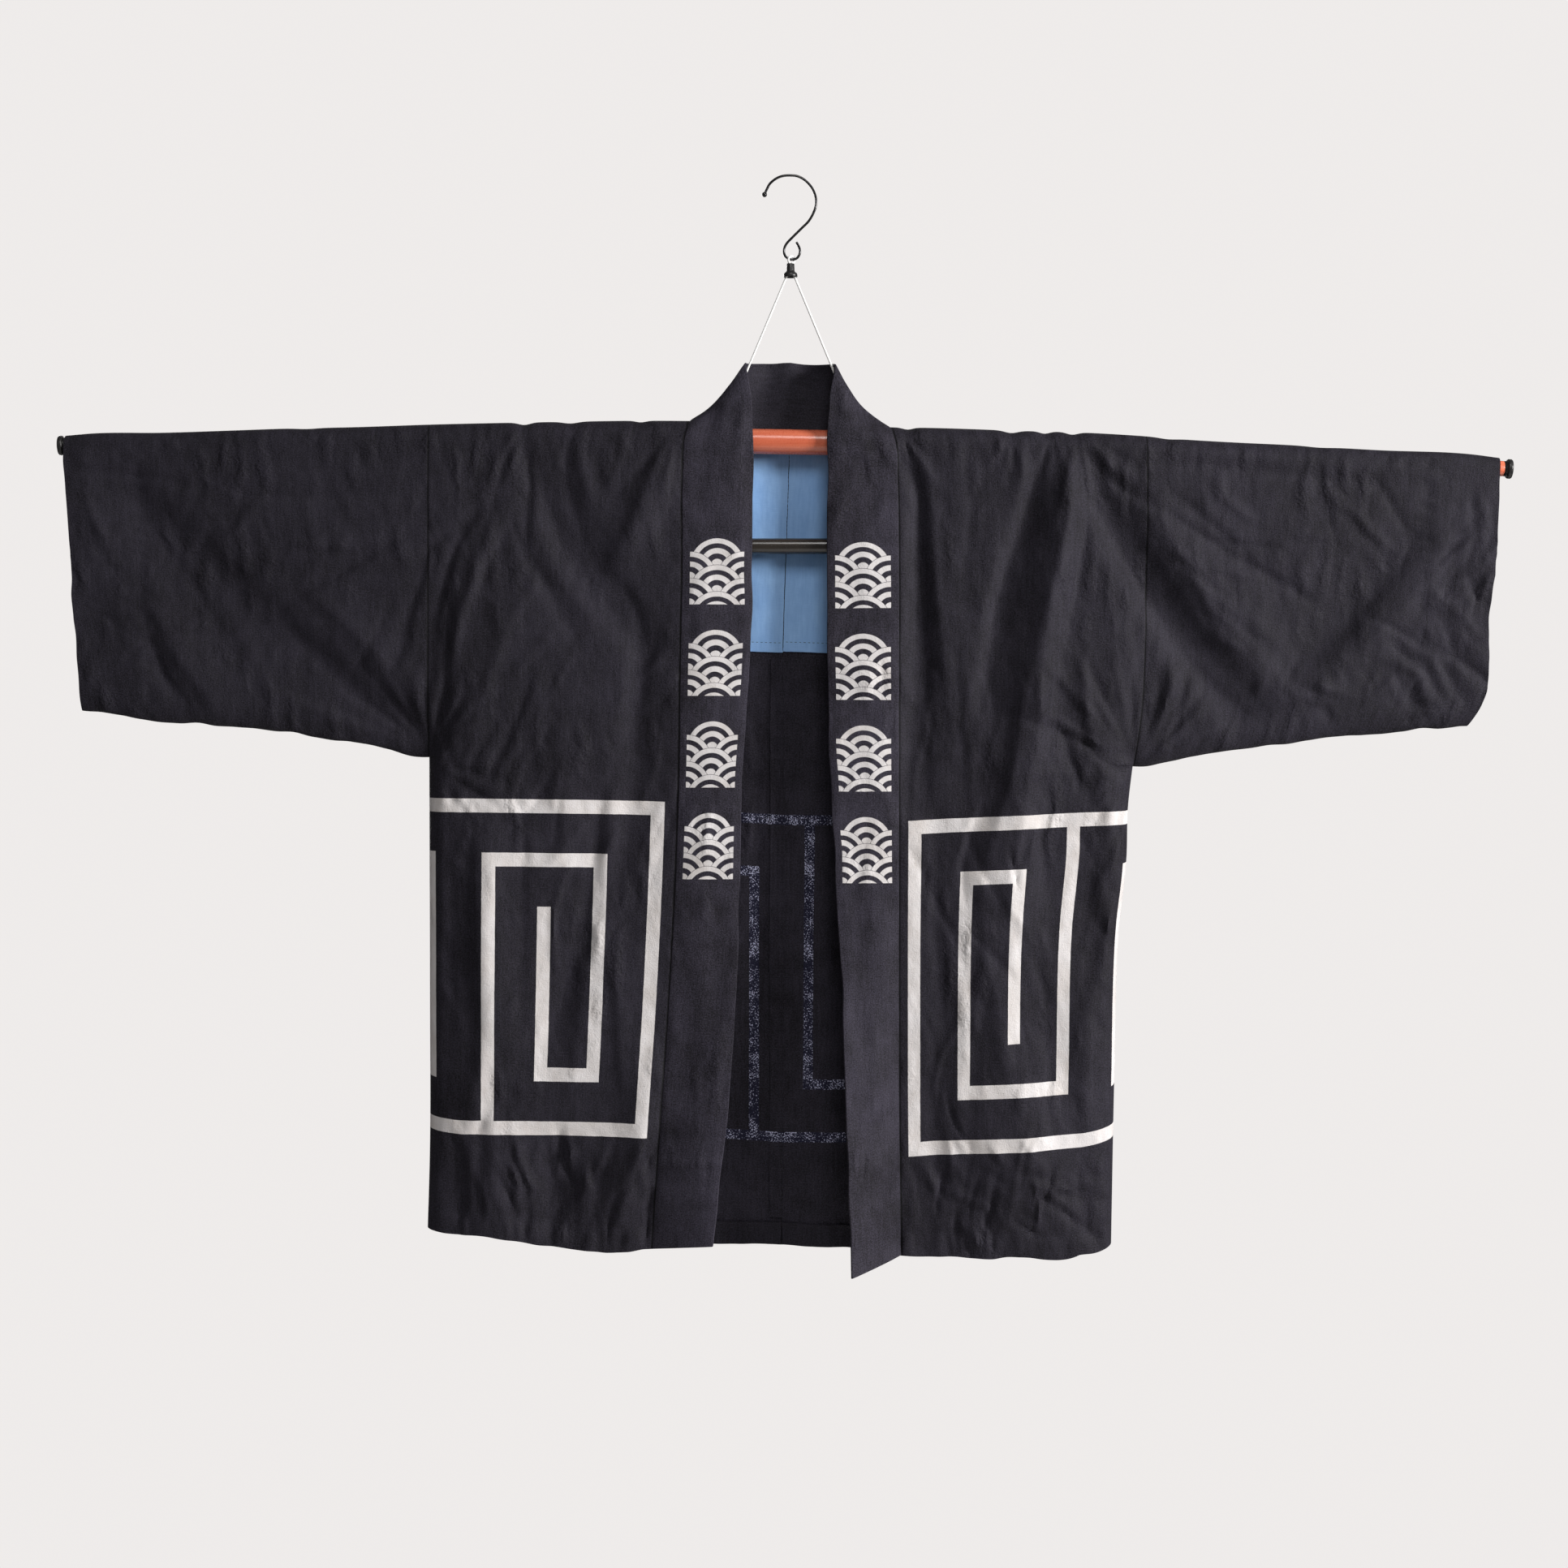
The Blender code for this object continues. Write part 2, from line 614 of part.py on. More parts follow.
#   x, z along the wire, from the ball tip to the end of the eye
HOOK_ROUTE = (
    (-0.0232, -0.0160),
    (-0.0212, -0.0115),
    (-0.0182, -0.0061),
    (-0.0126, -0.0016),
    (-0.0068, 0.0006),
    (0.0000, 0.0011),
    (0.0068, 0.0002),
    (0.0132, -0.0035),
    (0.0191, -0.0101),
    (0.0223, -0.0180),
    (0.0226, -0.0252),
    (0.0205, -0.0320),
    (0.0162, -0.0395),
    (0.0097, -0.0461),
    (0.0025, -0.0532),
    (-0.0038, -0.0600),
    (-0.0059, -0.0660),
    (-0.0045, -0.0710),
    (0.0000, -0.0736),
    (0.0050, -0.0730),
    (0.0080, -0.0690),
    (0.0080, -0.0640),
    (0.0052, -0.0582),
)

#   x, y, z of the cord from the rod's left, up through the bead, round the eye and down to the right
CORD_RISE = (
    (-0.0038, 0.0, -0.0895),
    (-0.0022, 0.0, -0.0862),
    (-0.00125, 0.0, -0.0838),
    (-0.00125, 0.0, -0.0776),
    (-0.0016, -0.0017, -0.0760),
    (-0.0018, -0.0026, -0.0738),
    (-0.0008, -0.0019, -0.0717),
    (0.0010, 0.0, -0.0709),
    (0.0028, 0.0019, -0.0717),
    (0.0038, 0.0026, -0.0738),
    (0.0026, 0.0017, -0.0760),
    (0.00125, 0.0, -0.0776),
    (0.00125, 0.0, -0.0838),
    (0.0022, 0.0, -0.0862),
    (0.0038, 0.0, -0.0895),
)


def make_hook(black):
    path = smooth_path([(x, 0, z) for x, z in HOOK_ROUTE], 2)
    start, second = np.array(path[0]), np.array(path[1])
    way = (second - start) / np.linalg.norm(second - start)
    reach = np.linspace(-0.95, 0.85, 7) * BALL_RADIUS
    ball = [start + way * r for r in reach]
    swell = [math.sqrt(BALL_RADIUS**2 - r * r) / WIRE_RADIUS for r in reach]
    after = [p for p in path if np.linalg.norm(p - start) > BALL_RADIUS * 1.15]
    tube("hook", ball + after, WIRE_RADIUS, black, sides=2, swell=swell + [1] * len(after))


def cord_route():
    feet = []
    for side in (LEFT, RIGHT):
        x = side * CORD_ROD_X
        feet.append((x, 0.0, rod_z(x) + TUBE_RADIUS + SEAM + CORD_FOOT))
    loop = smooth_path(CORD_RISE, 3)
    return [feet[0]] + loop + [feet[1]]


def make_cord(white, black):
    tube("cord", cord_route(), CORD_RADIUS, white, sides=2)
    profile = [(radius, -depth) for radius, depth in BEAD_OUTSIDE + BEAD_INSIDE]
    bead = turned("bead", profile, black, steps=20)
    bead.location = (0, 0, BEAD_TOP)


clear_scene()
PARTS = bpy.data.collections.new("happi_coat")
bpy.context.scene.collection.children.link(PARTS)
black_cotton = paint("black cotton", (0.014, 0.014, 0.017), 0.85)
blue_cotton = paint("blue cotton", (0.10, 0.30, 0.60), 0.85)
red_lacquer = paint("red lacquer", (0.55, 0.09, 0.035), 0.25)
black_plastic = paint("black plastic", (0.012, 0.012, 0.013), 0.3)
black_steel = paint("black steel", (0.02, 0.02, 0.022), 0.35, 0.8)
white_cord = paint("white cord", (0.80, 0.80, 0.80), 0.8)
make_bodies(black_cotton)
make_sleeves(black_cotton)
make_collar(black_cotton)
make_lining(blue_cotton)
make_rod(red_lacquer, black_plastic)
make_bar(black_plastic)
make_hook(black_steel)
make_cord(white_cord, black_plastic)
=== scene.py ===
"""Happi coat hanging on a telescopic kimono hanger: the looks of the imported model.

Metres, +Z up, the coat's front towards -Y. The origin is the inside top of the hook's crook.
"""

import math

import bmesh
import bpy
import numpy as np
from mathutils import Matrix


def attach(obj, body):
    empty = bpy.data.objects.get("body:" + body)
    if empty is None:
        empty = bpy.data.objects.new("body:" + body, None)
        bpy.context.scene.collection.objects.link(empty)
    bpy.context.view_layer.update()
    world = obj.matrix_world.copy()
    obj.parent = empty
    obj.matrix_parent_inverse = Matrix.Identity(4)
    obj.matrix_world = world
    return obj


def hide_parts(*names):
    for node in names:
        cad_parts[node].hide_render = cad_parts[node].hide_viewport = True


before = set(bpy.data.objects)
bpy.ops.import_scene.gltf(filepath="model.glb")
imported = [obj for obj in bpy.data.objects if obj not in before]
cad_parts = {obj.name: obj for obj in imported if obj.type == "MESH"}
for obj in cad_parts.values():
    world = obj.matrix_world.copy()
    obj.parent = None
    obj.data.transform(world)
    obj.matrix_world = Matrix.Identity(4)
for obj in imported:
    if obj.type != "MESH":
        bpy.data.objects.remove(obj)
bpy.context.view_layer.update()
scene = bpy.context.scene

# ------------------------------------------------------------------------------------ camera
# A still camera on a stand, level with the middle of the coat and straight in front of it.
CAMERA_AT = (-0.0058, -2.52, -0.5402)
LENS = 65.05

lens = bpy.data.cameras.new("camera")
lens.sensor_width = 36
lens.lens = LENS
camera = bpy.data.objects.new("camera", lens)
camera.location = CAMERA_AT
camera.rotation_euler = (math.pi / 2, 0, 0)
scene.collection.objects.link(camera)
scene.camera = camera

# ------------------------------------------------------------------------------------ cord
# A white cotton cord of three strands, 2 mm thick. It is knotted into the thick tube on either side of the
# neck, goes up through the bead and round the eye of the hook, and the hanger's weight pulls it straight.
ROD_Z = -0.2360
ROD_TILT = -0.0165
ROD_DROOP = 0.033
TUBE_RADIUS = 0.01115
CORD_RADIUS = 0.0010
CORD_ROD_X = 0.0600
CORD_FOOT = 0.00075  # how far over the tube the middle of the cord ends
CORD_LAY = 0.0100  # length of one turn of a strand
CORD_STRANDS = 3
STRAND_DEPTH = 0.07
BAR_STEP = 0.0004  # how far before and after a ring its direction is taken from
WELD = 0.00001  # points this close are one
#   x, y, z from the left of the bead, round the eye and down to its right
CORD_RISE = (
    (-0.0038, 0, -0.0895), (-0.0022, 0, -0.0862), (-0.00125, 0, -0.0838), (-0.00125, 0, -0.0776),
    (-0.0016, -0.0017, -0.076), (-0.0018, -0.0026, -0.0738), (-0.0008, -0.0019, -0.0717),
    (0.001, 0, -0.0709), (0.0028, 0.0019, -0.0717), (0.0038, 0.0026, -0.0738), (0.0026, 0.0017, -0.076),
    (0.00125, 0, -0.0776), (0.00125, 0, -0.0838), (0.0022, 0, -0.0862), (0.0038, 0, -0.0895),
)


def rod_z(x):
    return ROD_Z + ROD_TILT * x - ROD_DROOP * x * x


def smooth_path(points, per_span):
    """Points read from a smooth curve through the route's own points."""
    route = np.asarray(points, float)
    route = np.vstack([2 * route[0] - route[1], route, 2 * route[-1] - route[-2]])
    out = []
    for a, b, c, d in zip(route, route[1:], route[2:], route[3:]):
        for t in np.arange(per_span) / per_span:
            cubic = (d - a + 3 * (b - c)) * t**3 + (2 * a - 5 * b + 4 * c - d) * t**2
            out.append(b + (cubic + (c - a) * t) / 2)
    out.append(route[-2])
    return np.array(out)


def into_scene(name, made):
    """A smooth piece made of a finished bmesh."""
    mesh = bpy.data.meshes.new(name)
    made.to_mesh(mesh)
    made.free()
    mesh.shade_smooth()
    piece = bpy.data.objects.new(name, mesh)
    scene.collection.objects.link(piece)
    return piece


def lay(name, columns, rows, place, cut, flip=False):
    """A grid of columns by rows with each point where place says; cut gives its place in the flat piece."""
    grid = bmesh.new()
    across, along = len(columns) - 1, len(rows) - 1
    bmesh.ops.create_grid(grid, x_segments=across, y_segments=along, size=1)
    grid.verts.index_update()
    i = np.array([round((v.co.x + 1) / 2 * across) for v in grid.verts])
    j = np.array([round((v.co.y + 1) / 2 * along) for v in grid.verts])
    column, row = np.asarray(columns, float)[i], np.asarray(rows, float)[j]
    flat = np.stack(cut(column, row), axis=-1)
    uv = grid.loops.layers.uv.new("cut")
    for face in grid.faces:
        for loop in face.loops:
            loop[uv].uv = flat[loop.vert.index]
    for vertex, point in zip(grid.verts, place(column, row)):
        vertex.co = point
    bmesh.ops.remove_doubles(grid, verts=grid.verts, dist=WELD)
    if flip:
        bmesh.ops.reverse_faces(grid, faces=grid.faces)
    return into_scene(name, grid)


def distance_along(line):
    """Distance from a line's start to each of its points."""
    return np.concatenate([[0], np.cumsum(np.linalg.norm(np.diff(line, axis=0), axis=1))])


def read_line(at, gone, line):
    """The points of a line at these distances along it."""
    return np.stack([np.interp(at, gone, line[:, k]) for k in range(3)], axis=-1)


def bar(name, path, rings, around, lobes=None):
    """A round bar on a path. rings are (distance along it, radius) rows, and lobes may shape its section."""
    path = np.asarray(path, float)
    gone = distance_along(path)
    rings = np.asarray([(0, 0), *rings, (gone[-1], 0)], float)
    at, radius = rings[:, 0], rings[:, 1]
    centre = read_line(at, gone, path)
    way = read_line(at + BAR_STEP, gone, path) - read_line(at - BAR_STEP, gone, path)
    way /= np.linalg.norm(way, axis=1)[:, None]
    side = np.array([0, 1, 0]) - way * way[:, 1:2]
    side /= np.linalg.norm(side, axis=1)[:, None]
    other = np.cross(way, side)

    def place(turn, ring):
        ring = ring.astype(int)
        angle = turn * 2 * math.pi
        r = radius[ring] * (lobes(angle, at[ring]) if lobes else 1)
        sideways = (r * np.cos(angle))[:, None] * side[ring]
        return centre[ring] + sideways + (r * np.sin(angle))[:, None] * other[ring]

    def cut(turn, ring):
        return turn * 2 * math.pi * radius.max(), at[ring.astype(int)]

    return lay(name, np.arange(around + 1) / around, np.arange(len(at)), place, cut)


def even_rings(path, radius, spacing, lip):
    """Rings all along a path, with a small rounded lip at both ends."""
    length = distance_along(path)[-1]
    count = max(2, round((length - 2 * lip) / spacing))
    middle = [(d, radius) for d in np.linspace(lip, length - lip, count + 1)]
    start = [(0, radius - lip), (lip * 0.3, radius - lip * 0.3)]
    return start + middle + [(length - d, r) for d, r in reversed(start)]


def node(kind, *inputs, out=0, **settings):
    """A shader node with its inputs linked or set in order, and its settings; gives one of its outputs."""
    tree = next(value.id_data for value in inputs if isinstance(value, bpy.types.NodeSocket))
    made = tree.nodes.new("ShaderNode" + kind)
    for key, value in settings.items():
        setattr(made, key, value)
    for socket, value in zip(made.inputs, inputs):
        if isinstance(value, bpy.types.NodeSocket):
            tree.links.new(value, socket)
        elif value is not None:
            socket.default_value = value
    return made.outputs[out]


def sum_of(operation, *inputs):
    return node("Math", *inputs, operation=operation)


def noise(where, scale, detail=2.0, roughness=0.5, **settings):
    return node("TexNoise", where, None, scale, detail, roughness, **settings)


def stretched(where, scale):
    return node("Mapping", where, None, None, scale)


def ranged(value, low, high, to_low, to_high):
    return node("MapRange", value, low, high, to_low, to_high)


def blended(share, first, second):
    """Two colours mixed by a share that may be a texture."""
    pair = [(*colour, 1) if isinstance(colour, tuple) else colour for colour in (first, second)]
    return node("Mix", share, *[None] * 5, *pair, out=2, data_type="RGBA")


def two_toned(value, low, high, first, second):
    """The first colour where a texture is low, the second where it is high."""
    return blended(ranged(value, low, high, 0, 1), first, second)


def finish(name, roughness=0.5, specular=0.5, metallic=0.0, sheen=0.0, coat=0.0):
    """A new material with its even values on the shader's own sockets; gives it and its shader."""
    material = bpy.data.materials.new(name)
    material.use_nodes = True
    shader = material.node_tree.nodes["Principled BSDF"]
    even = {
        "Roughness": roughness,
        "Specular IOR Level": specular,
        "Metallic": metallic,
        "Sheen Weight": sheen,
        "Sheen Roughness": 0.45,
        "Coat Weight": coat,
        "Coat Roughness": 0.12,
    }
    for socket, value in even.items():
        shader.inputs[socket].default_value = value
    return material, shader


def in_space(shader):
    """Where a point of the piece is, in metres."""
    return shader.id_data.nodes.new("ShaderNodeTexCoord").outputs["Object"]


def on_flat(shader):
    """Where a point is on the piece laid flat, in metres."""
    return shader.id_data.nodes.new("ShaderNodeUVMap").outputs["UV"]


def feed(shader, colour=None, roughness=None):
    """Links textures to the shader's colour and roughness."""
    for socket, value in (("Base Color", colour), ("Roughness", roughness)):
        if value is not None:
            shader.id_data.links.new(value, shader.inputs[socket])


def bumped(shader, height, strength, distance, under=None):
    tree = shader.id_data
    made = tree.nodes.new("ShaderNodeBump")
    made.inputs["Strength"].default_value = strength
    made.inputs["Distance"].default_value = distance
    tree.links.new(height, made.inputs["Height"])
    if under:
        tree.links.new(under, made.inputs["Normal"])
    tree.links.new(made.outputs["Normal"], shader.inputs["Normal"])
    return made.outputs["Normal"]


def dress(piece, slot, *materials, stands_for=None):
    """Gives a piece its materials, hangs it under the root body, and hides the solid it stands for."""
    for material in materials:
        piece.data.materials.append(material)
    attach(piece, "root")
    if stands_for:
        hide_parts(stands_for)


cord_path = [(-CORD_ROD_X, 0, rod_z(-CORD_ROD_X) + TUBE_RADIUS + CORD_FOOT)]
cord_path += [tuple(p) for p in smooth_path(CORD_RISE, 6)]
cord_path += [(CORD_ROD_X, 0, rod_z(CORD_ROD_X) + TUBE_RADIUS + CORD_FOOT)]


def strands(angle, gone):
    turned_by = 2 * math.pi * gone / CORD_LAY
    return 1 - STRAND_DEPTH + STRAND_DEPTH * np.abs(np.cos(CORD_STRANDS * (angle + turned_by) / 2)) ** 0.7


cord = bar("cord_strands", cord_path, even_rings(cord_path, CORD_RADIUS, 0.0006, 0.0003), 24, strands)
white_cotton, shader = finish("white cotton cord", roughness=0.85, specular=0.2, sheen=0.2)
fibre = noise(stretched(on_flat(shader), (2500, 700, 1)), 1, 3)
feed(shader, colour=two_toned(fibre, 0.3, 0.7, (0.80, 0.80, 0.79), (0.93, 0.93, 0.92)))
bumped(shader, fibre, 0.4, 0.0001)
dress(cord, "white_cord", white_cotton, stands_for="cord")

# ------------------------------------------------------------------------------------ hook
# An open hook of 2.2 mm steel wire, plated black. Its tip is a small ball, and its lower end is bent round
# into an eye for the cord.
WIRE_RADIUS = 0.0011
WIRE_LIP = 0.0003
BALL_RADIUS = 0.0023
BALL_ARC = (0.25, 2.64)  # radians round the ball, from near its tip to where it meets the wire
#   x, z along the wire, from the ball tip to the end of the eye
HOOK_ROUTE = (
    (-0.0232, -0.016), (-0.0212, -0.0115), (-0.0182, -0.0061), (-0.0126, -0.0016), (-0.0068, 0.0006),
    (0, 0.0011), (0.0068, 0.0002), (0.0132, -0.0035), (0.0191, -0.0101), (0.0223, -0.018),
    (0.0226, -0.0252), (0.0205, -0.032), (0.0162, -0.0395), (0.0097, -0.0461), (0.0025, -0.0532),
    (-0.0038, -0.06), (-0.0059, -0.066), (-0.0045, -0.071), (0, -0.0736), (0.005, -0.073), (0.008, -0.069),
    (0.008, -0.064), (0.0052, -0.0582),
)

wire = smooth_path([(x, 0, z) for x, z in HOOK_ROUTE], 8)
tip_way = (wire[1] - wire[0]) / np.linalg.norm(wire[1] - wire[0])
wire = np.vstack([wire[0] - tip_way * BALL_RADIUS, wire])
wire_length = distance_along(wire)[-1]
ball = [(BALL_RADIUS * (1 - math.cos(a)), BALL_RADIUS * math.sin(a)) for a in np.linspace(*BALL_ARC, 12)]
along = [(d, WIRE_RADIUS) for d in np.linspace(2 * BALL_RADIUS, wire_length - WIRE_LIP, 150)]
hook = bar("hook_wire", wire, ball + along + [(wire_length, WIRE_RADIUS - WIRE_LIP)], 20)
plating, shader = finish("black nickel plating", roughness=0.22, metallic=0.9)
where = in_space(shader)
feed(
    shader,
    colour=two_toned(noise(where, 420, 3), 0.5, 0.8, (0.05, 0.05, 0.053), (0.14, 0.13, 0.12)),
    roughness=ranged(noise(where, 1500, 2), 0.3, 0.7, 0.16, 0.32),
)
dress(hook, "black_steel", plating, stands_for="hook")

# ------------------------------------------------------------------------------------ bead
# A black plastic bead, straight at the top and flared below, with a hole for both legs of the cord. It
# slides down them and holds them together under the hook.
BEAD_TOP = -0.0775
#   radius, height under the bead's top, down its outside and up its bell and bore
BEAD_SHAPE = (
    (0.0027, -0.0006), (0.0029, -0.0001), (0.0032, 0), (0.0034, -0.0004), (0.0036, -0.006),
    (0.0038, -0.007), (0.0047, -0.0078), (0.0057, -0.0086), (0.0061, -0.0098), (0.0062, -0.0112),
    (0.006, -0.0119), (0.0056, -0.012), (0.0052, -0.0117), (0.0049, -0.0104), (0.0044, -0.0086),
    (0.0034, -0.0076), (0.0027, -0.0068),
)


def turned(name, profile, steps, matrix=None):
    """A profile of (radius, height) rows, closed or from axis to axis, turned round Z and put in place."""
    made = bmesh.new()
    verts = [made.verts.new((radius, 0, height)) for radius, height in profile]
    ring = verts + verts[:1] if profile[0][0] else verts
    edges = [made.edges.new((a, b)) for a, b in zip(ring, ring[1:])]
    bmesh.ops.spin(
        made, geom=verts + edges, cent=(0, 0, 0), axis=(0, 0, 1), dvec=(0, 0, 0),
        angle=2 * math.pi, steps=steps, use_merge=True, use_duplicate=False,
    )
    bmesh.ops.remove_doubles(made, verts=made.verts, dist=WELD)
    bmesh.ops.recalc_face_normals(made, faces=made.faces)
    if matrix is not None:
        bmesh.ops.transform(made, matrix=matrix, verts=made.verts)
    return into_scene(name, made)


bead = turned("bead_turned", [(r, BEAD_TOP + h) for r, h in BEAD_SHAPE], 40)
plastic, shader = finish("black plastic", roughness=0.35, specular=0.4)
grain = noise(in_space(shader), 900, 3)
feed(
    shader,
    colour=two_toned(grain, 0.3, 0.7, (0.010, 0.010, 0.011), (0.026, 0.025, 0.025)),
    roughness=ranged(grain, 0.3, 0.7, 0.28, 0.42),
)
dress(bead, "black_plastic", plastic, stands_for="bead")

# ------------------------------------------------------------------------------------ rod
# A telescopic rod of lacquered tube: a thick tube in the middle, and a thin one that slides out of each end
# as far as the cuff. A black plastic cap is pushed on each thin end.
TUBE_HALF = 0.300
ARM_RADIUS = 0.0068
LEFT, RIGHT = -1, 1
SIDES = ((LEFT, "left"), (RIGHT, "right"))
ARM_END = {LEFT: 0.6435, RIGHT: 0.6340}
ROD_GAP = 0.0003
RING_SPACING = 0.012
#   radius, height above the thin tube's end
CAP_SHAPE = (
    (0, 0.0072), (0.0066, 0.0072), (0.0081, 0.0069), (0.00865, 0.0061), (0.00865, 0.0036), (0.0081, 0.0027),
    (0.007, 0.0025), (0.0068, 0.0023), (0.0068, 0.0001), (0.0066, 0), (0, 0),
)


def rod_path(start, end):
    return [(x, 0, rod_z(x)) for x in np.linspace(start, end, 41)]


lacquer, shader = finish("orange lacquer", roughness=0.3, specular=0.5, coat=0.35)
where = in_space(shader)
streaks = noise(stretched(where, (18, 420, 420)), 1, 4)
feed(
    shader,
    colour=two_toned(streaks, 0.35, 0.7, (0.66, 0.165, 0.085), (0.56, 0.115, 0.055)),
    roughness=ranged(noise(where, 700, 3), 0.3, 0.7, 0.22, 0.36),
)
bumped(shader, noise(where, 260, 2), 0.15, 0.0003)

path = rod_path(-TUBE_HALF, TUBE_HALF)
thick_tube = bar("rod_thick_tube", path, even_rings(path, TUBE_RADIUS, RING_SPACING, 0.0008), 48)
dress(thick_tube, "red_lacquer", lacquer, stands_for="rod_centre")
for side, name in SIDES:
    path = rod_path(side * (TUBE_HALF + ROD_GAP), side * ARM_END[side])
    thin_tube = bar("rod_thin_" + name, path, even_rings(path, ARM_RADIUS, RING_SPACING, 0.0006), 40)
    dress(thin_tube, "red_lacquer", lacquer, stands_for="rod_" + name)
    end_x = side * (ARM_END[side] + ROD_GAP)
    slope = ROD_TILT - 2 * ROD_DROOP * end_x
    turn = Matrix.Rotation(side * math.pi / 2 - math.atan(slope), 4, "Y")
    at_end = Matrix.Translation((end_x, 0, rod_z(end_x))) @ turn
    cap = turned("cap_" + name + "_turned", CAP_SHAPE, 48, at_end)
    dress(cap, "black_plastic", plastic, stands_for="cap_" + name)

# ------------------------------------------------------------------------------------ sash bar
# A thinner black bar for a sash, level under the rod. Two short posts carry it from the thick tube.
BAR_Z = -0.3287
BAR_RADIUS = 0.0070
BAR_HALF = 0.200
POST_X = 0.170
POST_RADIUS = 0.0018

enamel, shader = finish("black enamel", roughness=0.2, specular=0.5, coat=0.2)
where = in_space(shader)
streaks = noise(stretched(where, (25, 500, 500)), 1, 3)
feed(
    shader,
    colour=two_toned(streaks, 0.35, 0.7, (0.020, 0.017, 0.015), (0.034, 0.027, 0.022)),
    roughness=ranged(noise(where, 800, 3), 0.3, 0.7, 0.16, 0.28),
)

path = [(x, 0, BAR_Z) for x in np.linspace(-BAR_HALF, BAR_HALF, 21)]
sash_bar = bar("sash_bar_enamelled", path, even_rings(path, BAR_RADIUS, RING_SPACING, 0.0012), 40)
dress(sash_bar, "black_plastic", enamel, stands_for="sash_bar")
for side, name in SIDES:
    x = side * POST_X
    foot, top = BAR_Z + BAR_RADIUS + ROD_GAP, rod_z(x) - TUBE_RADIUS - ROD_GAP
    path = [(x, 0, z) for z in np.linspace(foot, top, 9)]
    post = bar("post_" + name + "_enamelled", path, even_rings(path, POST_RADIUS, 0.008, 0.0003), 20)
    dress(post, "black_plastic", enamel, stands_for="post_" + name)

# ------------------------------------------------------------------------------------ body halves
# Two halves of black cotton, each one long piece from the front hem over the shoulder to the back hem. They
# are sewn together down the middle of the back and at the sides, and hemmed by hand at the bottom. A white
# key-fret band is left undyed round the lower part, and shows through on the inside as faint speckled bars.
FRONT, BACK = -1, 1
FACES = ((FRONT, "front"), (BACK, "back"))
WALL = 0.0012
SEAM = 0.0003  # between pieces that are sewn to each other
WRAP_BODY = 0.0152  # radius of the cloth's outer face over the thick tube
WRAP_CUFF = 0.0085
ARMHOLE_DEPTH = 0.0115  # half depth of a sleeve at the armhole
CUFF_DEPTH = 0.0085
DEPTH = {FRONT: 0.0190, BACK: 0.0175}
DEPTH_REACHED = 0.25  # drop at which the body has that depth
SIDE_ROUND = 0.030  # width of the rounded side
BOTTOM_ROUND = 0.022  # height of the rounded underside of a sleeve
ARMHOLE_DROP = {LEFT: 0.2953, RIGHT: 0.2939}
CENTRE_BACK = -0.0068
#   drop, how far the back seam leans from there
CENTRE_LEAN = ((0.0, 0.0066), (0.09, 0.0036), (0.18, 0.0006), (0.40, -0.0008), (0.71, -0.0015))
# Stations down a face: 0 on top of the rod, 1 behind it, 2 at the underarm, 3 under it and 4 at the hem
NECK_STATION = 2 / 3
UNDER_NECK = 0.83
TO_UNDERARM = 0.256  # length of cloth from station 1 to 2
TO_HEM = 0.43  # and from station 3 to 4
FLAT_SHARE = 0.9  # part of the hem's table that the flat takes, the round side having the rest
SEWN_OFF = 0.0016  # from the neckline to the collar's seam

# Top line of the hanging coat, cuff to cuff
SHOULDER_LINE = (
    (-0.644, -0.2309), (-0.6224, -0.229), (-0.5576, -0.2282), (-0.4928, -0.2261), (-0.4496, -0.2246),
    (-0.3848, -0.2232), (-0.32, -0.221), (-0.2228, -0.2189), (-0.1292, -0.2176), (-0.0896, -0.2178),
    (0, -0.2206), (0.0904, -0.2234), (0.1271, -0.224), (0.2056, -0.2266), (0.2567, -0.228),
    (0.3157, -0.2314), (0.3496, -0.2342), (0.3928, -0.2368), (0.436, -0.2388), (0.5224, -0.2437),
    (0.6088, -0.2478), (0.6297, -0.2506),
)
#   drop, seam x, free x, free edge above the seam, free edge forward of the front
COLLAR_FRONT = {
    LEFT: (
        (0, -0.0893, -0.04, 0.0518, 0.002), (0.002, -0.0897, -0.0364, 0.035, 0),
        (0.0076, -0.0905, -0.034, 0.0207, 0), (0.0152, -0.0925, -0.033, 0.0126, 0.001),
        (0.046, -0.0943, -0.033, 0.004, 0), (0.13, -0.0947, -0.0335, 0, 0), (0.2024, -0.096, -0.0349, 0, 0),
        (0.347, -0.0983, -0.0436, 0, 0.001), (0.435, -0.1019, -0.0455, 0, 0.003),
        (0.524, -0.1069, -0.048, 0, 0.006), (0.6056, -0.1127, -0.0545, 0, 0.01),
        (0.7336, -0.1213, -0.068, 0.005, 0.02),
    ),
    RIGHT: (
        (0, 0.0885, 0.04, 0.056, 0.002), (0.002, 0.089, 0.0362, 0.0415, 0),
        (0.0076, 0.09, 0.0338, 0.0255, 0), (0.0152, 0.092, 0.0325, 0.0156, 0.001),
        (0.046, 0.0935, 0.0325, 0.005, 0), (0.13, 0.0947, 0.0322, 0, 0), (0.2024, 0.0947, 0.032, 0, 0),
        (0.347, 0.0947, 0.0366, 0, 0.001), (0.435, 0.0947, 0.0418, 0, 0.006),
        (0.524, 0.0948, 0.0465, 0, 0.018), (0.6056, 0.0951, 0.049, -0.002, 0.028),
        (0.7323, 0.0968, 0.0529, -0.014, 0.04),
    ),
}
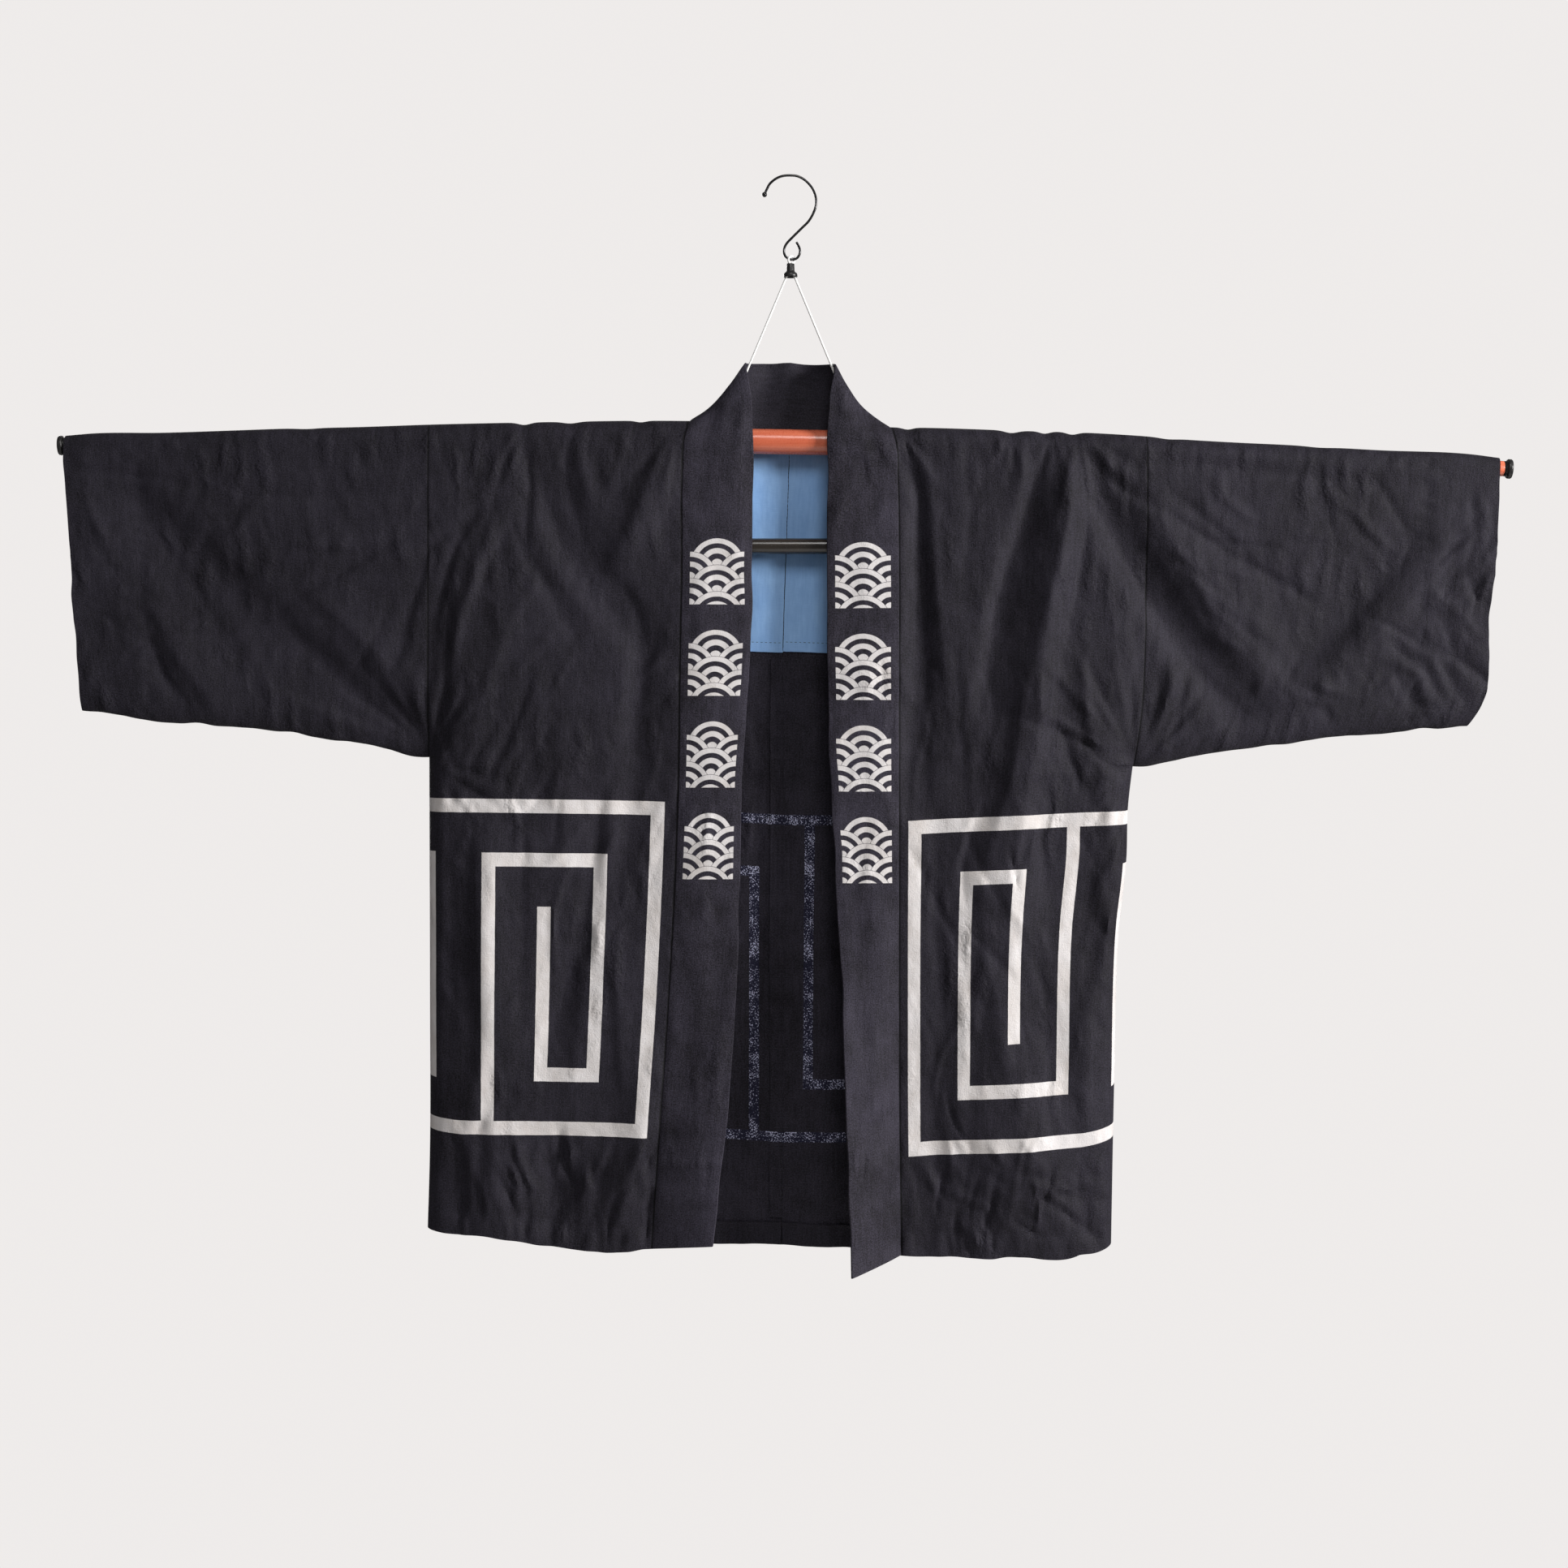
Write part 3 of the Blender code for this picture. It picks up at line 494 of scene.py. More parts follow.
#   drop, x of the side seam
SIDE_LINE = {
    LEFT: ((0, -0.3205), (0.29, -0.3212), (0.5, -0.3206), (0.65, -0.3208), (0.72, -0.3228)),
    RIGHT: (
        (0, 0.3157), (0.177, 0.3143), (0.247, 0.3107), (0.294, 0.3042), (0.331, 0.3), (0.374, 0.2988),
        (0.439, 0.292), (0.568, 0.288), (0.72, 0.285),
    ),
}
#   place from the inner edge (0) to the side (1), length in front, length behind
HEM = {
    LEFT: (
        (0, 0.7336, 0.732), (0.3, 0.7345, 0.7325), (0.6, 0.7265, 0.726), (0.8, 0.7195, 0.7195),
        (0.9, 0.7185, 0.7185), (1, 0.712, 0.712),
    ),
    RIGHT: (
        (0, 0.7323, 0.732), (0.3, 0.733, 0.7325), (0.6, 0.7315, 0.731), (0.9, 0.7285, 0.728),
        (1, 0.7175, 0.7175),
    ),
}
# Folds that give the coat its form, each along a curve through three points
#   millimetres: from x, z, by x, z, to x, z, height, half width
FOLDS = {
    FRONT: (
        (-590, -270, -485, -398, -326, -509, -7.2, 24), (-226, -243, -200, -356, -126, -420, -5.2, 16),
        (-100, -226, -120, -290, -159, -347, 4, 15), (-129, -405, -134, -550, -155, -662, -5.2, 16),
        (-172, -558, -182, -662, -208, -783, -5.2, 15), (-265, -580, -268, -700, -266, -828, 5.2, 15),
        (-124, -780, -135, -860, -150, -945, 6, 16), (110, -236, 116, -400, 110, -557, -6.9, 14),
        (257, -239, 214, -446, 184, -783, 8.6, 20), (216, -270, 200, -330, 176, -468, -4.6, 14),
        (258, -581, 262, -650, 258, -716, -5.2, 15), (262, -250, 314, -378, 396, -473, -8.8, 15),
        (549, -324, 490, -400, 440, -432, -7.2, 18), (320, -300, 390, -400, 430, -455, 5.6, 16),
        (200, -800, 205, -870, 195, -955, 12.5, 44), (130, -820, 135, -880, 130, -950, -4, 18),
        (-295, -860, -292, -900, -300, -940, -4.5, 12), (-262, -840, -262, -890, -255, -950, 5, 15),
        (-200, -860, -205, -900, -200, -950, -4, 18),
    ),
    BACK: (
        (-560, -262, -470, -390, -335, -500, -7.2, 22), (-210, -246, -180, -420, -150, -640, -5.2, 18),
        (-255, -300, -262, -560, -250, -840, 5.2, 18), (-70, -330, -80, -600, -62, -930, 4.6, 20),
        (80, -300, 72, -560, 90, -900, 5.2, 20), (235, -250, 205, -480, 190, -800, 6.3, 20),
        (160, -270, 150, -460, 140, -700, -5.2, 18), (270, -270, 330, -390, 420, -470, -8, 18),
    ),
}
# Creases between them, in the same columns: drag lines from the shoulders, and folds at the underarms, cuffs
# and hem
CREASES = {
    FRONT: (
        (-586, -284, -532, -362, -470, -468, -3.5, 10.8), (-573, -378, -532, -441, -501, -482, 3.2, 9.4),
        (-571, -410, -555, -441, -537, -468, -3, 5), (-442, -405, -392, -456, -326, -509, -3.5, 7.2),
        (-321, -311, -393, -347, -456, -387, -2.7, 5), (-240, -279, -298, -312, -321, -333, -2, 4.3),
        (-321, -333, -345, -391, -352, -441, -2.4, 5), (-421, -373, -363, -420, -327, -477, 3, 10.8),
        (-640, -261, -586, -263, -514, -279, -1.4, 4.3), (-486, -283, -414, -294, -321, -276, -1.2, 5.8),
        (-622, -294, -614, -312, -608, -322, 1.6, 4.3), (-637, -305, -608, -341, -579, -377, -1.2, 5.8),
        (-630, -387, -601, -377, -576, -373, -1.2, 4.3), (-344, -477, -334, -495, -324, -508, -2.2, 3.6),
        (-464, -456, -414, -477, -378, -495, 1.9, 6.5), (-450, -319, -399, -305, -321, -290, 1.2, 7.2),
        (-236, -227, -225, -276, -233, -333, -3.3, 6.5), (-230, -341, -205, -377, -182, -419, -2.9, 8.6),
        (-154, -360, -126, -396, -133, -441, -2.6, 10.1), (-105, -239, -136, -288, -154, -347, 2.9, 8.6),
        (-186, -247, -182, -269, -172, -305, 2.2, 7.2), (-205, -229, -198, -276, -172, -348, -1.8, 7.2),
        (-144, -233, -147, -254, -162, -283, 1.5, 4.3), (-262, -315, -280, -369, -312, -459, 3.1, 7.9),
        (-226, -365, -254, -405, -285, -491, 2.9, 8.6), (-244, -305, -270, -362, -291, -420, -2.2, 5.8),
        (-276, -297, -312, -356, -316, -405, -2.6, 5), (-298, -362, -307, -434, -315, -492, -2, 5),
        (-226, -450, -244, -495, -276, -545, -2.4, 5.8), (-255, -477, -280, -513, -301, -553, -1.8, 5),
        (-118, -405, -136, -492, -164, -545, -2.6, 9.4), (-164, -545, -170, -603, -182, -662, -2.2, 7.9),
        (-190, -684, -205, -737, -218, -783, -2, 7.2), (-276, -558, -278, -648, -272, -783, 2.4, 9.4),
        (-272, -783, -280, -852, -290, -924, 2.6, 8.6), (-303, -572, -297, -648, -303, -828, -2, 6.5),
        (-132, -855, -140, -888, -158, -935, 2.9, 6.5), (-154, -852, -169, -888, -177, -938, -1.9, 6.5),
        (-208, -845, -205, -888, -212, -938, -1.9, 7.2), (-241, -852, -237, -888, -244, -942, 1.7, 7.2),
        (-298, -852, -288, -881, -291, -924, -1.7, 5.8), (-198, -492, -205, -564, -198, -636, 1.8, 10.1),
        (-241, -564, -234, -650, -241, -751, -1.3, 6.5), (-154, -693, -146, -765, -151, -845, 1.5, 7.2),
        (-319, -708, -298, -729, -288, -765, 1.1, 4.3), (-317, -521, -298, -546, -270, -571, -1.5, 4.3),
        (103, -236, 121, -348, 123, -549, -3.5, 5), (116, -247, 128, -341, 144, -513, 3.1, 7.9),
        (149, -423, 147, -492, 153, -557, -1.8, 5.8), (225, -239, 207, -290, 167, -468, -3.1, 7.2),
        (203, -233, 207, -258, 198, -305, 2, 4.3), (159, -247, 162, -305, 155, -377, -1.3, 6.5),
        (257, -236, 247, -319, 212, -441, 3.3, 9.4), (212, -441, 195, -535, 171, -630, 3.3, 10.1),
        (171, -630, 173, -708, 187, -794, 2.6, 10.1), (270, -288, 252, -377, 216, -558, -2.6, 6.5),
        (261, -423, 255, -477, 279, -527, 2.4, 5.8), (257, -495, 270, -517, 296, -531, -2.6, 3.6),
        (234, -477, 249, -521, 267, -553, -2, 5), (216, -558, 234, -607, 227, -679, -2, 8.6),
        (279, -535, 285, -593, 286, -643, 1.8, 5), (267, -564, 272, -636, 263, -701, -2, 6.5),
        (167, -675, 184, -697, 203, -719, -1.3, 3.6), (220, -693, 234, -765, 231, -845, -1.8, 7.9),
        (267, -708, 256, -780, 267, -852, 2.2, 7.2), (126, -564, 134, -672, 130, -837, -1.8, 9.4),
        (148, -693, 155, -780, 148, -866, 1.5, 8.6), (189, -873, 173, -902, 180, -945, -1.7, 6.5),
        (207, -870, 234, -895, 242, -945, 2.2, 5.8), (256, -866, 247, -902, 263, -945, -2.2, 5),
        (216, -909, 242, -896, 274, -902, -1.6, 3.6), (270, -873, 279, -909, 272, -949, 1.9, 4.3),
        (126, -881, 137, -909, 134, -949, 1.4, 6.5), (261, -248, 292, -284, 328, -296, -2.4, 4.3),
        (328, -296, 393, -341, 477, -387, -2.7, 4.3), (270, -288, 303, -351, 342, -419, -3.3, 5.8),
        (342, -419, 365, -450, 396, -473, -4.1, 6.5), (306, -305, 357, -384, 407, -449, 2.4, 8.6),
        (365, -369, 400, -405, 437, -432, -1.6, 5.8), (333, -434, 335, -456, 324, -485, 3.2, 5.8),
        (346, -441, 350, -467, 335, -495, -2.4, 4.3), (554, -324, 515, -362, 441, -423, -3.8, 10.8),
        (580, -341, 522, -413, 458, -463, 3.8, 11.5), (320, -257, 396, -260, 522, -275, -1.6, 5),
        (364, -247, 450, -251, 566, -265, 1.2, 5.8), (531, -414, 551, -434, 572, -454, -2.2, 3.6),
        (591, -325, 580, -341, 573, -348, -1.9, 3.6), (603, -356, 610, -373, 617, -384, -2, 3.6),
        (567, -369, 594, -380, 616, -413, 1.8, 4.3), (616, -413, 594, -420, 573, -441, -1.6, 3.6),
        (465, -467, 476, -477, 479, -487, -1.9, 3.6), (537, -441, 522, -456, 504, -470, 1.8, 4.3),
        (378, -477, 407, -470, 450, -464, 1.6, 5.8), (364, -276, 371, -305, 370, -323, 1.4, 5),
    ),
    BACK: (
        (-60, -255, -70, -330, -110, -400, -2, 9), (55, -250, 75, -320, 85, -420, -1.8, 9),
        (-130, -240, -150, -330, -190, -430, 2.4, 10), (-235, -236, -240, -300, -225, -370, -2.9, 8),
        (-300, -500, -270, -450, -235, -400, -2.2, 7), (-305, -520, -280, -580, -262, -660, -2.4, 8),
        (-285, -600, -272, -700, -275, -800, 2.2, 9), (-225, -560, -215, -680, -220, -800, -2, 10),
        (-170, -480, -160, -620, -165, -760, 2, 10), (-110, -600, -105, -740, -115, -900, -2, 10),
        (-30, -480, -35, -620, -28, -760, 1.5, 9), (30, -560, 28, -700, 35, -860, -1.5, 9),
        (120, -420, 125, -560, 118, -720, 2, 9), (165, -640, 160, -760, 170, -900, -2, 10),
        (200, -250, 215, -310, 190, -400, -2.6, 8), (262, -255, 240, -340, 235, -430, 2.2, 9),
        (290, -500, 262, -450, 225, -410, -2.2, 7), (288, -530, 262, -600, 255, -680, -2.4, 8),
        (262, -660, 268, -760, 255, -860, 2.2, 9), (215, -740, 222, -820, 210, -930, -2.2, 9),
        (-240, -860, -236, -900, -244, -940, -1.9, 7), (-90, -880, -86, -910, -92, -945, 1.7, 7),
        (110, -880, 104, -915, 110, -945, -1.7, 7), (-600, -330, -560, -400, -500, -470, -3, 10),
        (-545, -300, -470, -360, -400, -440, 3, 11), (-335, -380, -380, -400, -440, -430, -2.4, 7),
        (-325, -480, -380, -440, -430, -380, -2.4, 7), (-620, -400, -600, -420, -585, -455, 1.9, 6),
        (322, -300, 370, -340, 450, -370, -2.7, 7), (315, -480, 370, -440, 420, -390, -2.7, 7),
        (400, -290, 470, -340, 540, -400, 3, 11), (590, -330, 545, -390, 470, -440, -3.2, 10),
        (600, -400, 580, -430, 550, -460, -1.9, 6),
    ),
}
# Fans of small creases, which spread from where the cloth is pulled together or crushed
#   x, z of the point they spread from, first and last bearing (0 right, 90 up), how many, nearest and
#   farthest distance from it, height, half width
CREASE_FANS = {
    FRONT: (
        (-0.2365, -0.218, 235, 290, 7, 0.004, 0.075, 0.0012, 0.0026),
        (-0.095, -0.22, 215, 262, 6, 0.006, 0.09, 0.0011, 0.0024),
        (-0.195, -0.219, 250, 290, 4, 0.004, 0.045, 0.0009, 0.0024),
        (-0.322, -0.514, 30, 98, 8, 0.01, 0.12, 0.0014, 0.0028),
        (-0.32, -0.512, 100, 160, 8, 0.01, 0.13, 0.0012, 0.0028),
        (-0.318, -0.524, -75, 10, 7, 0.01, 0.08, 0.0013, 0.0026),
        (0.096, -0.224, 262, 320, 6, 0.004, 0.07, 0.0012, 0.0024),
        (0.196, -0.223, 235, 300, 6, 0.004, 0.06, 0.0013, 0.0024),
        (0.227, -0.224, 240, 300, 5, 0.004, 0.05, 0.0013, 0.0024),
        (0.256, -0.226, 250, 345, 9, 0.006, 0.1, 0.0014, 0.0026),
        (0.308, -0.523, 88, 160, 10, 0.01, 0.13, 0.0016, 0.0028),
        (0.31, -0.52, 20, 80, 8, 0.01, 0.12, 0.0015, 0.0028),
        (0.304, -0.533, 180, 262, 9, 0.008, 0.1, 0.0015, 0.0026),
    ),
    BACK: (
        (-0.32, -0.512, 40, 150, 12, 0.01, 0.11, 0.0013, 0.0028),
        (0.308, -0.523, 30, 150, 12, 0.01, 0.11, 0.0013, 0.0028),
        (-0.315, -0.526, -80, 0, 6, 0.01, 0.08, 0.0012, 0.0026),
        (0.305, -0.533, 180, 265, 6, 0.01, 0.08, 0.0012, 0.0026),
        (-0.23, -0.219, 240, 300, 6, 0.006, 0.07, 0.0011, 0.0026),
        (0.24, -0.224, 240, 300, 7, 0.006, 0.08, 0.0012, 0.0026),
    ),
}
# Crumples, scattered where the cloth was crushed
#   x, z of the middle, half width and half height of the place, main bearing, spread of bearings, how many,
#   length, height, half width
CRUMPLES = {
    FRONT: (
        (0.56, -0.435, 0.045, 0.038, 130, 24, 14, 0.052, 0.0017, 0.0026),
        (0.603, -0.335, 0.022, 0.05, 60, 35, 13, 0.034, 0.0018, 0.0024),
        (0.5, -0.455, 0.09, 0.025, 110, 60, 12, 0.028, 0.0014, 0.0026),
        (0.225, -0.905, 0.07, 0.042, 125, 50, 26, 0.042, 0.0018, 0.0024),
        (0.268, -0.7, 0.024, 0.11, 95, 45, 13, 0.036, 0.0015, 0.0026),
        (0.175, -0.6, 0.06, 0.15, 95, 25, 16, 0.06, 0.0016, 0.003),
        (0.13, -0.86, 0.03, 0.08, 90, 30, 9, 0.038, 0.0018, 0.0028),
        (0.44, -0.35, 0.09, 0.07, 145, 30, 12, 0.06, 0.0014, 0.0028),
        (-0.25, -0.89, 0.06, 0.05, 75, 40, 15, 0.036, 0.002, 0.0028),
        (-0.16, -0.9, 0.045, 0.045, 65, 35, 12, 0.034, 0.0019, 0.0028),
        (-0.3, -0.62, 0.02, 0.11, 85, 35, 10, 0.036, 0.0012, 0.0026),
        (-0.19, -0.56, 0.08, 0.13, 65, 30, 16, 0.06, 0.0014, 0.003),
        (-0.59, -0.38, 0.045, 0.08, 20, 60, 12, 0.032, 0.0011, 0.0026),
        (-0.46, -0.37, 0.1, 0.09, 35, 35, 14, 0.06, 0.0012, 0.0028),
    ),
    BACK: (
        (0.56, -0.4, 0.06, 0.07, 110, 60, 16, 0.034, 0.0015, 0.0028),
        (-0.56, -0.39, 0.06, 0.07, 60, 60, 16, 0.034, 0.0013, 0.0028),
        (0.23, -0.88, 0.06, 0.06, 100, 50, 16, 0.034, 0.0015, 0.0028),
        (-0.2, -0.88, 0.09, 0.06, 80, 50, 18, 0.034, 0.0014, 0.0028),
        (0.02, -0.8, 0.08, 0.12, 90, 35, 14, 0.044, 0.0012, 0.003),
        (-0.15, -0.5, 0.11, 0.15, 85, 30, 14, 0.05, 0.0012, 0.003),
        (0.15, -0.5, 0.11, 0.15, 95, 30, 14, 0.05, 0.0012, 0.003),
    ),
}
# Small dips where a crease crosses the top of the shoulder
#   x, depth, half width
SHOULDER_DIPS = (
    (-0.2365, 0.0022, 0.007), (-0.1955, 0.0016, 0.009), (-0.133, 0.0014, 0.006), (-0.43, 0.0008, 0.012),
    (0.104, 0.0018, 0.006), (0.196, 0.0022, 0.008), (0.2257, 0.002, 0.006), (0.2502, 0.0022, 0.007),
    (0.335, 0.001, 0.01), (0.47, 0.0008, 0.014),
)
DIP_REACH = 0.035
LEANS = (0.45, -0.45, 0.25, -0.5, 0.5, -0.2)  # which side of each fold is the long one, and by how much
FORM_STRENGTH, CREASE_STRENGTH = 1.25, 1.2
FORM_SHARPNESS, CREASE_SHARPNESS = 1.7, 1.5
FOLD_START = 0.012  # drop at which the large folds begin
FOLD_REACH = 0.045  # drop over which they grow to their full height
FOLD_EDGE = 0.009  # half depth under which all folds are calm
FOLD_ENDS = (0.08, 0.92)  # part of a half wave that a fold's height follows along its length
FOLD_TAPER = 0.7
FOLD_SPREAD = (0.85, 1.35)  # how narrow a fold starts and how wide it ends
FOLD_FELT = 4.2  # half widths from a fold within which it is felt
CREASE_START = 0.002
CREASE_REACH = 0.016
TOP_LIFT = 0.0004  # how far the cloth over the rod stands above the top line
HEM_TURN = 0.020  # depth of the hem's turning
HEM_PUCKER = 0.0011
PUCKER_AT = 0.012  # height over the hem at which it puckers most
HEM_WAVE = 0.0012
HEM_WAVE_REACH = 0.05
TURN_STEP = 0.0004  # a turning's cloth lifts the face by this
STITCH_DENT = 0.0005
NEAR_SEAM = 0.0009
SEAM_DEPTH = 0.0003
EDGE_CALM = 0.004  # half depth under which the cloth over an edge stays smooth


def read(table, at, column=1):
    """A column of a table at `at`, as a smooth curve through its rows."""
    rows = np.asarray(table, float)
    x, y = rows[:, 0], rows[:, column]
    slope = np.gradient(y, x)
    i = np.clip(np.searchsorted(x, at) - 1, 0, len(x) - 2)
    step = x[i + 1] - x[i]
    t = np.clip((at - x[i]) / step, 0, 1)
    start = y[i] * (1 + 2 * t) + slope[i] * step * t
    end = y[i + 1] * (3 - 2 * t) + slope[i + 1] * step * (t - 1)
    return start * (1 - t) ** 2 + end * t**2


def ease(t):
    t = np.clip(t, 0, 1)
    return t * t * (3 - 2 * t)


def mix(a, b, t):
    return a + (b - a) * t


def hump(distance, width):
    return np.exp(-((distance / width) ** 2))


def spread_out(fans):
    """The fans' creases, no two alike, in the columns of the other creases."""
    rows = []
    for number, (x, z, first, last, count, near, far, height, width) in enumerate(fans):
        chance = np.random.default_rng(100 + number).uniform(-1, 1, (count, 6))
        for i, (turn, start, end, bend, tall, wide) in enumerate(chance):
            bearing = math.radians(mix(first, last, (i + 0.5 + 0.35 * turn) / count))
            ends = [near * (1.6 + 0.9 * start), far * (0.72 + 0.28 * end)]
            ends.insert(1, sum(ends) / 2)
            bearings = [bearing, bearing + 0.10 * bend, bearing + 0.04 * bend]
            points = [(x + r * math.cos(b), z + r * math.sin(b)) for r, b in zip(ends, bearings)]
            height_here = height * (1 + 0.4 * tall) * (-1 if i % 2 else 1)
            rows.append((*points[0], *points[1], *points[2], height_here, width * (1.1 + 0.35 * wide)))
    return rows


def scattered(places):
    """The crumples, no two alike, in the same columns."""
    rows = []
    for number, (x, z, wide, tall, bearing, spread, count, length, height, width) in enumerate(places):
        chance = np.random.default_rng(200 + number).uniform(-1, 1, (count, 7))
        for i, (right, up, turn, long, bend, rise, broad) in enumerate(chance):
            way = math.radians(bearing + spread * turn)
            reach = length * (0.55 + 0.30 * long)
            cx, cz = x + wide * right, z + tall * up
            dx, dz = reach * math.cos(way), reach * math.sin(way)
            curve = 0.35 * bend
            middle = (cx - curve * dz, cz + curve * dx)
            height_here = height * (1 + 0.5 * rise) * (-1 if i % 2 else 1)
            width_here = width * (1.1 + 0.4 * broad)
            rows.append((cx - dx, cz - dz, *middle, cx + dx, cz + dz, height_here, width_here))
    return rows


def folds_at(table, x, z, sharpness):
    """How far the folds of a table push the cloth outwards at x, z. Each has a steep side and a long one."""
    out = np.zeros(x.shape)
    x = x + 0.0040 * unevenness(x, z, 0.055, 0.075, 1) + 0.0014 * unevenness(x, z, 0.019, 0.026, 2)
    t = np.linspace(0, 1, 13)
    for row, (x0, z0, x1, z1, x2, z2, height, width) in enumerate(table):
        lean = LEANS[row % len(LEANS)]
        px = (1 - t) ** 2 * x0 + 2 * t * (1 - t) * x1 + t * t * x2
        pz = (1 - t) ** 2 * z0 + 2 * t * (1 - t) * z1 + t * t * z2
        far = FOLD_FELT * width
        close = (x > px.min() - far) & (x < px.max() + far) & (z > pz.min() - far) & (z < pz.max() + far)
        cx, cz = x[close], z[close]
        nearest = np.full(cx.shape, np.inf)
        place = np.zeros(cx.shape)
        beside = np.zeros(cx.shape)
        for i in range(len(t) - 1):
            dx, dz = px[i + 1] - px[i], pz[i + 1] - pz[i]
            s = np.clip(((cx - px[i]) * dx + (cz - pz[i]) * dz) / (dx * dx + dz * dz), 0, 1)
            gap = np.hypot(cx - px[i] - s * dx, cz - pz[i] - s * dz)
            across = ((cx - px[i]) * dz - (cz - pz[i]) * dx) / math.hypot(dx, dz)
            beside = np.where(gap < nearest, across, beside)
            place = np.where(gap < nearest, (i + s) / (len(t) - 1), place)
            nearest = np.minimum(nearest, gap)
        spread = width * (1 + lean * np.tanh(beside / width)) * mix(*FOLD_SPREAD, place)
        taper = np.sin(np.pi * mix(*FOLD_ENDS, place)) ** FOLD_TAPER
        out[close] += height * taper * np.exp(-((nearest / spread) ** sharpness))
    return out


def in_metres(table):
    return [tuple(value / 1000 for value in row) for row in table]


LARGE_FOLDS, SMALL_CREASES = {}, {}
for face, _ in FACES:
    LARGE_FOLDS[face] = in_metres(FOLDS[face])
    SMALL_CREASES[face] = in_metres(CREASES[face])
    SMALL_CREASES[face] += spread_out(CREASE_FANS[face]) + scattered(CRUMPLES[face])


def unevenness(x, z, wide, long, seed):
    """Soft bumps of about -1 to 1, wide across and long down the cloth. Each seed gives other bumps."""
    lattice = np.random.default_rng(seed).uniform(-1, 1, (64, 64))
    u, v = x / wide + 32, z / long + 32
    i, j = np.floor(u).astype(int), np.floor(v).astype(int)
    a, b = ease(u - i), ease(v - j)
    top = mix(lattice[i % 64, j % 64], lattice[(i + 1) % 64, j % 64], a)
    low = mix(lattice[i % 64, (j + 1) % 64], lattice[(i + 1) % 64, (j + 1) % 64], a)
    return mix(top, low, b)


def ridged(x, z, wide, long, seed):
    """Narrow ridges with soft hollows between them, of about -0.5 to 0.5."""
    return 0.5 - np.abs(unevenness(x, z, wide, long, seed)) * 1.6


def hang(s, wrap, bottom, depth):
    """Drop and half depth at station s (0 to 3) of cloth hung over a rod and closed at `bottom`."""
    over = np.clip(s, 0, 1) * math.pi / 2
    down = np.clip(s - 1, 0, 1)
    under = np.clip(s - 2, 0, 1) * math.pi / 2
    drop = wrap * (1 - np.cos(over)) + down * (bottom - BOTTOM_ROUND - wrap) + BOTTOM_ROUND * np.sin(under)
    out = np.where(s < 1, wrap * np.sin(over), mix(wrap, depth, ease(down)) * np.cos(under))
    return drop, out


def put_folds(face, x, z, drop, out, from_seam):
    """The point at x, z with all its folds, creases and seams, flat where the cloth turns over an edge."""
    level = ease(out / FOLD_EDGE)
    form = FORM_STRENGTH * ease((drop - FOLD_START) / FOLD_REACH)
    form = form * folds_at(LARGE_FOLDS[face], x, z, FORM_SHARPNESS)
    small = CREASE_STRENGTH * folds_at(SMALL_CREASES[face], x, z, CREASE_SHARPNESS)
    # Soft waves, ridges and fine ridges, aslant to the threads
    lively = 0.6 + 0.4 * unevenness(x, z, 0.11, 0.13, 6)
    small += 0.0009 * lively * unevenness(x + 0.25 * z, z, 0.021, 0.090, 3 + face)
    small += 0.0005 * lively * ridged(x - 0.3 * z, z, 0.017, 0.048, 13 + face)
    small += 0.00028 * ridged(x + 0.4 * z, z, 0.0095, 0.021, 17 + face)
    pushed = level * (form + ease((drop - CREASE_START) / CREASE_REACH) * small)
    room = 0.80 * out + 0.0001  # as far in as the cloth can go before it meets the other face
    pushed = np.where(pushed < 0, room * np.tanh(pushed / room), pushed)
    pushed -= SEAM_DEPTH * hump(from_seam, NEAR_SEAM) * ease(out / EDGE_CALM)
    dip = sum(depth * hump(x - at, width) for at, depth, width in SHOULDER_DIPS)
    z = z + (TOP_LIFT - dip) * (1 - ease(drop / DIP_REACH))
    return np.stack([x, face * (out + pushed), z], axis=-1)


def turned_edge(from_edge, turn, out):
    """How a turning shows on the face: a little higher over it, and drawn in along its stitches."""
    lifted = TURN_STEP * ease((turn - from_edge) / 0.002)
    return (lifted - STITCH_DENT * hump(from_edge - turn, 0.005)) * ease(out / EDGE_CALM)


def hem_length(side, face, share):
    """Length down to the hem, at a share of the way from the inner edge to the end of the round side."""
    return read(HEM[side], share, 1 if face == FRONT else 2)


def hem_share(c):
    return FLAT_SHARE * np.clip(c, 0, 1) + (1 - FLAT_SHARE) * np.clip(c - 1, 0, 1)


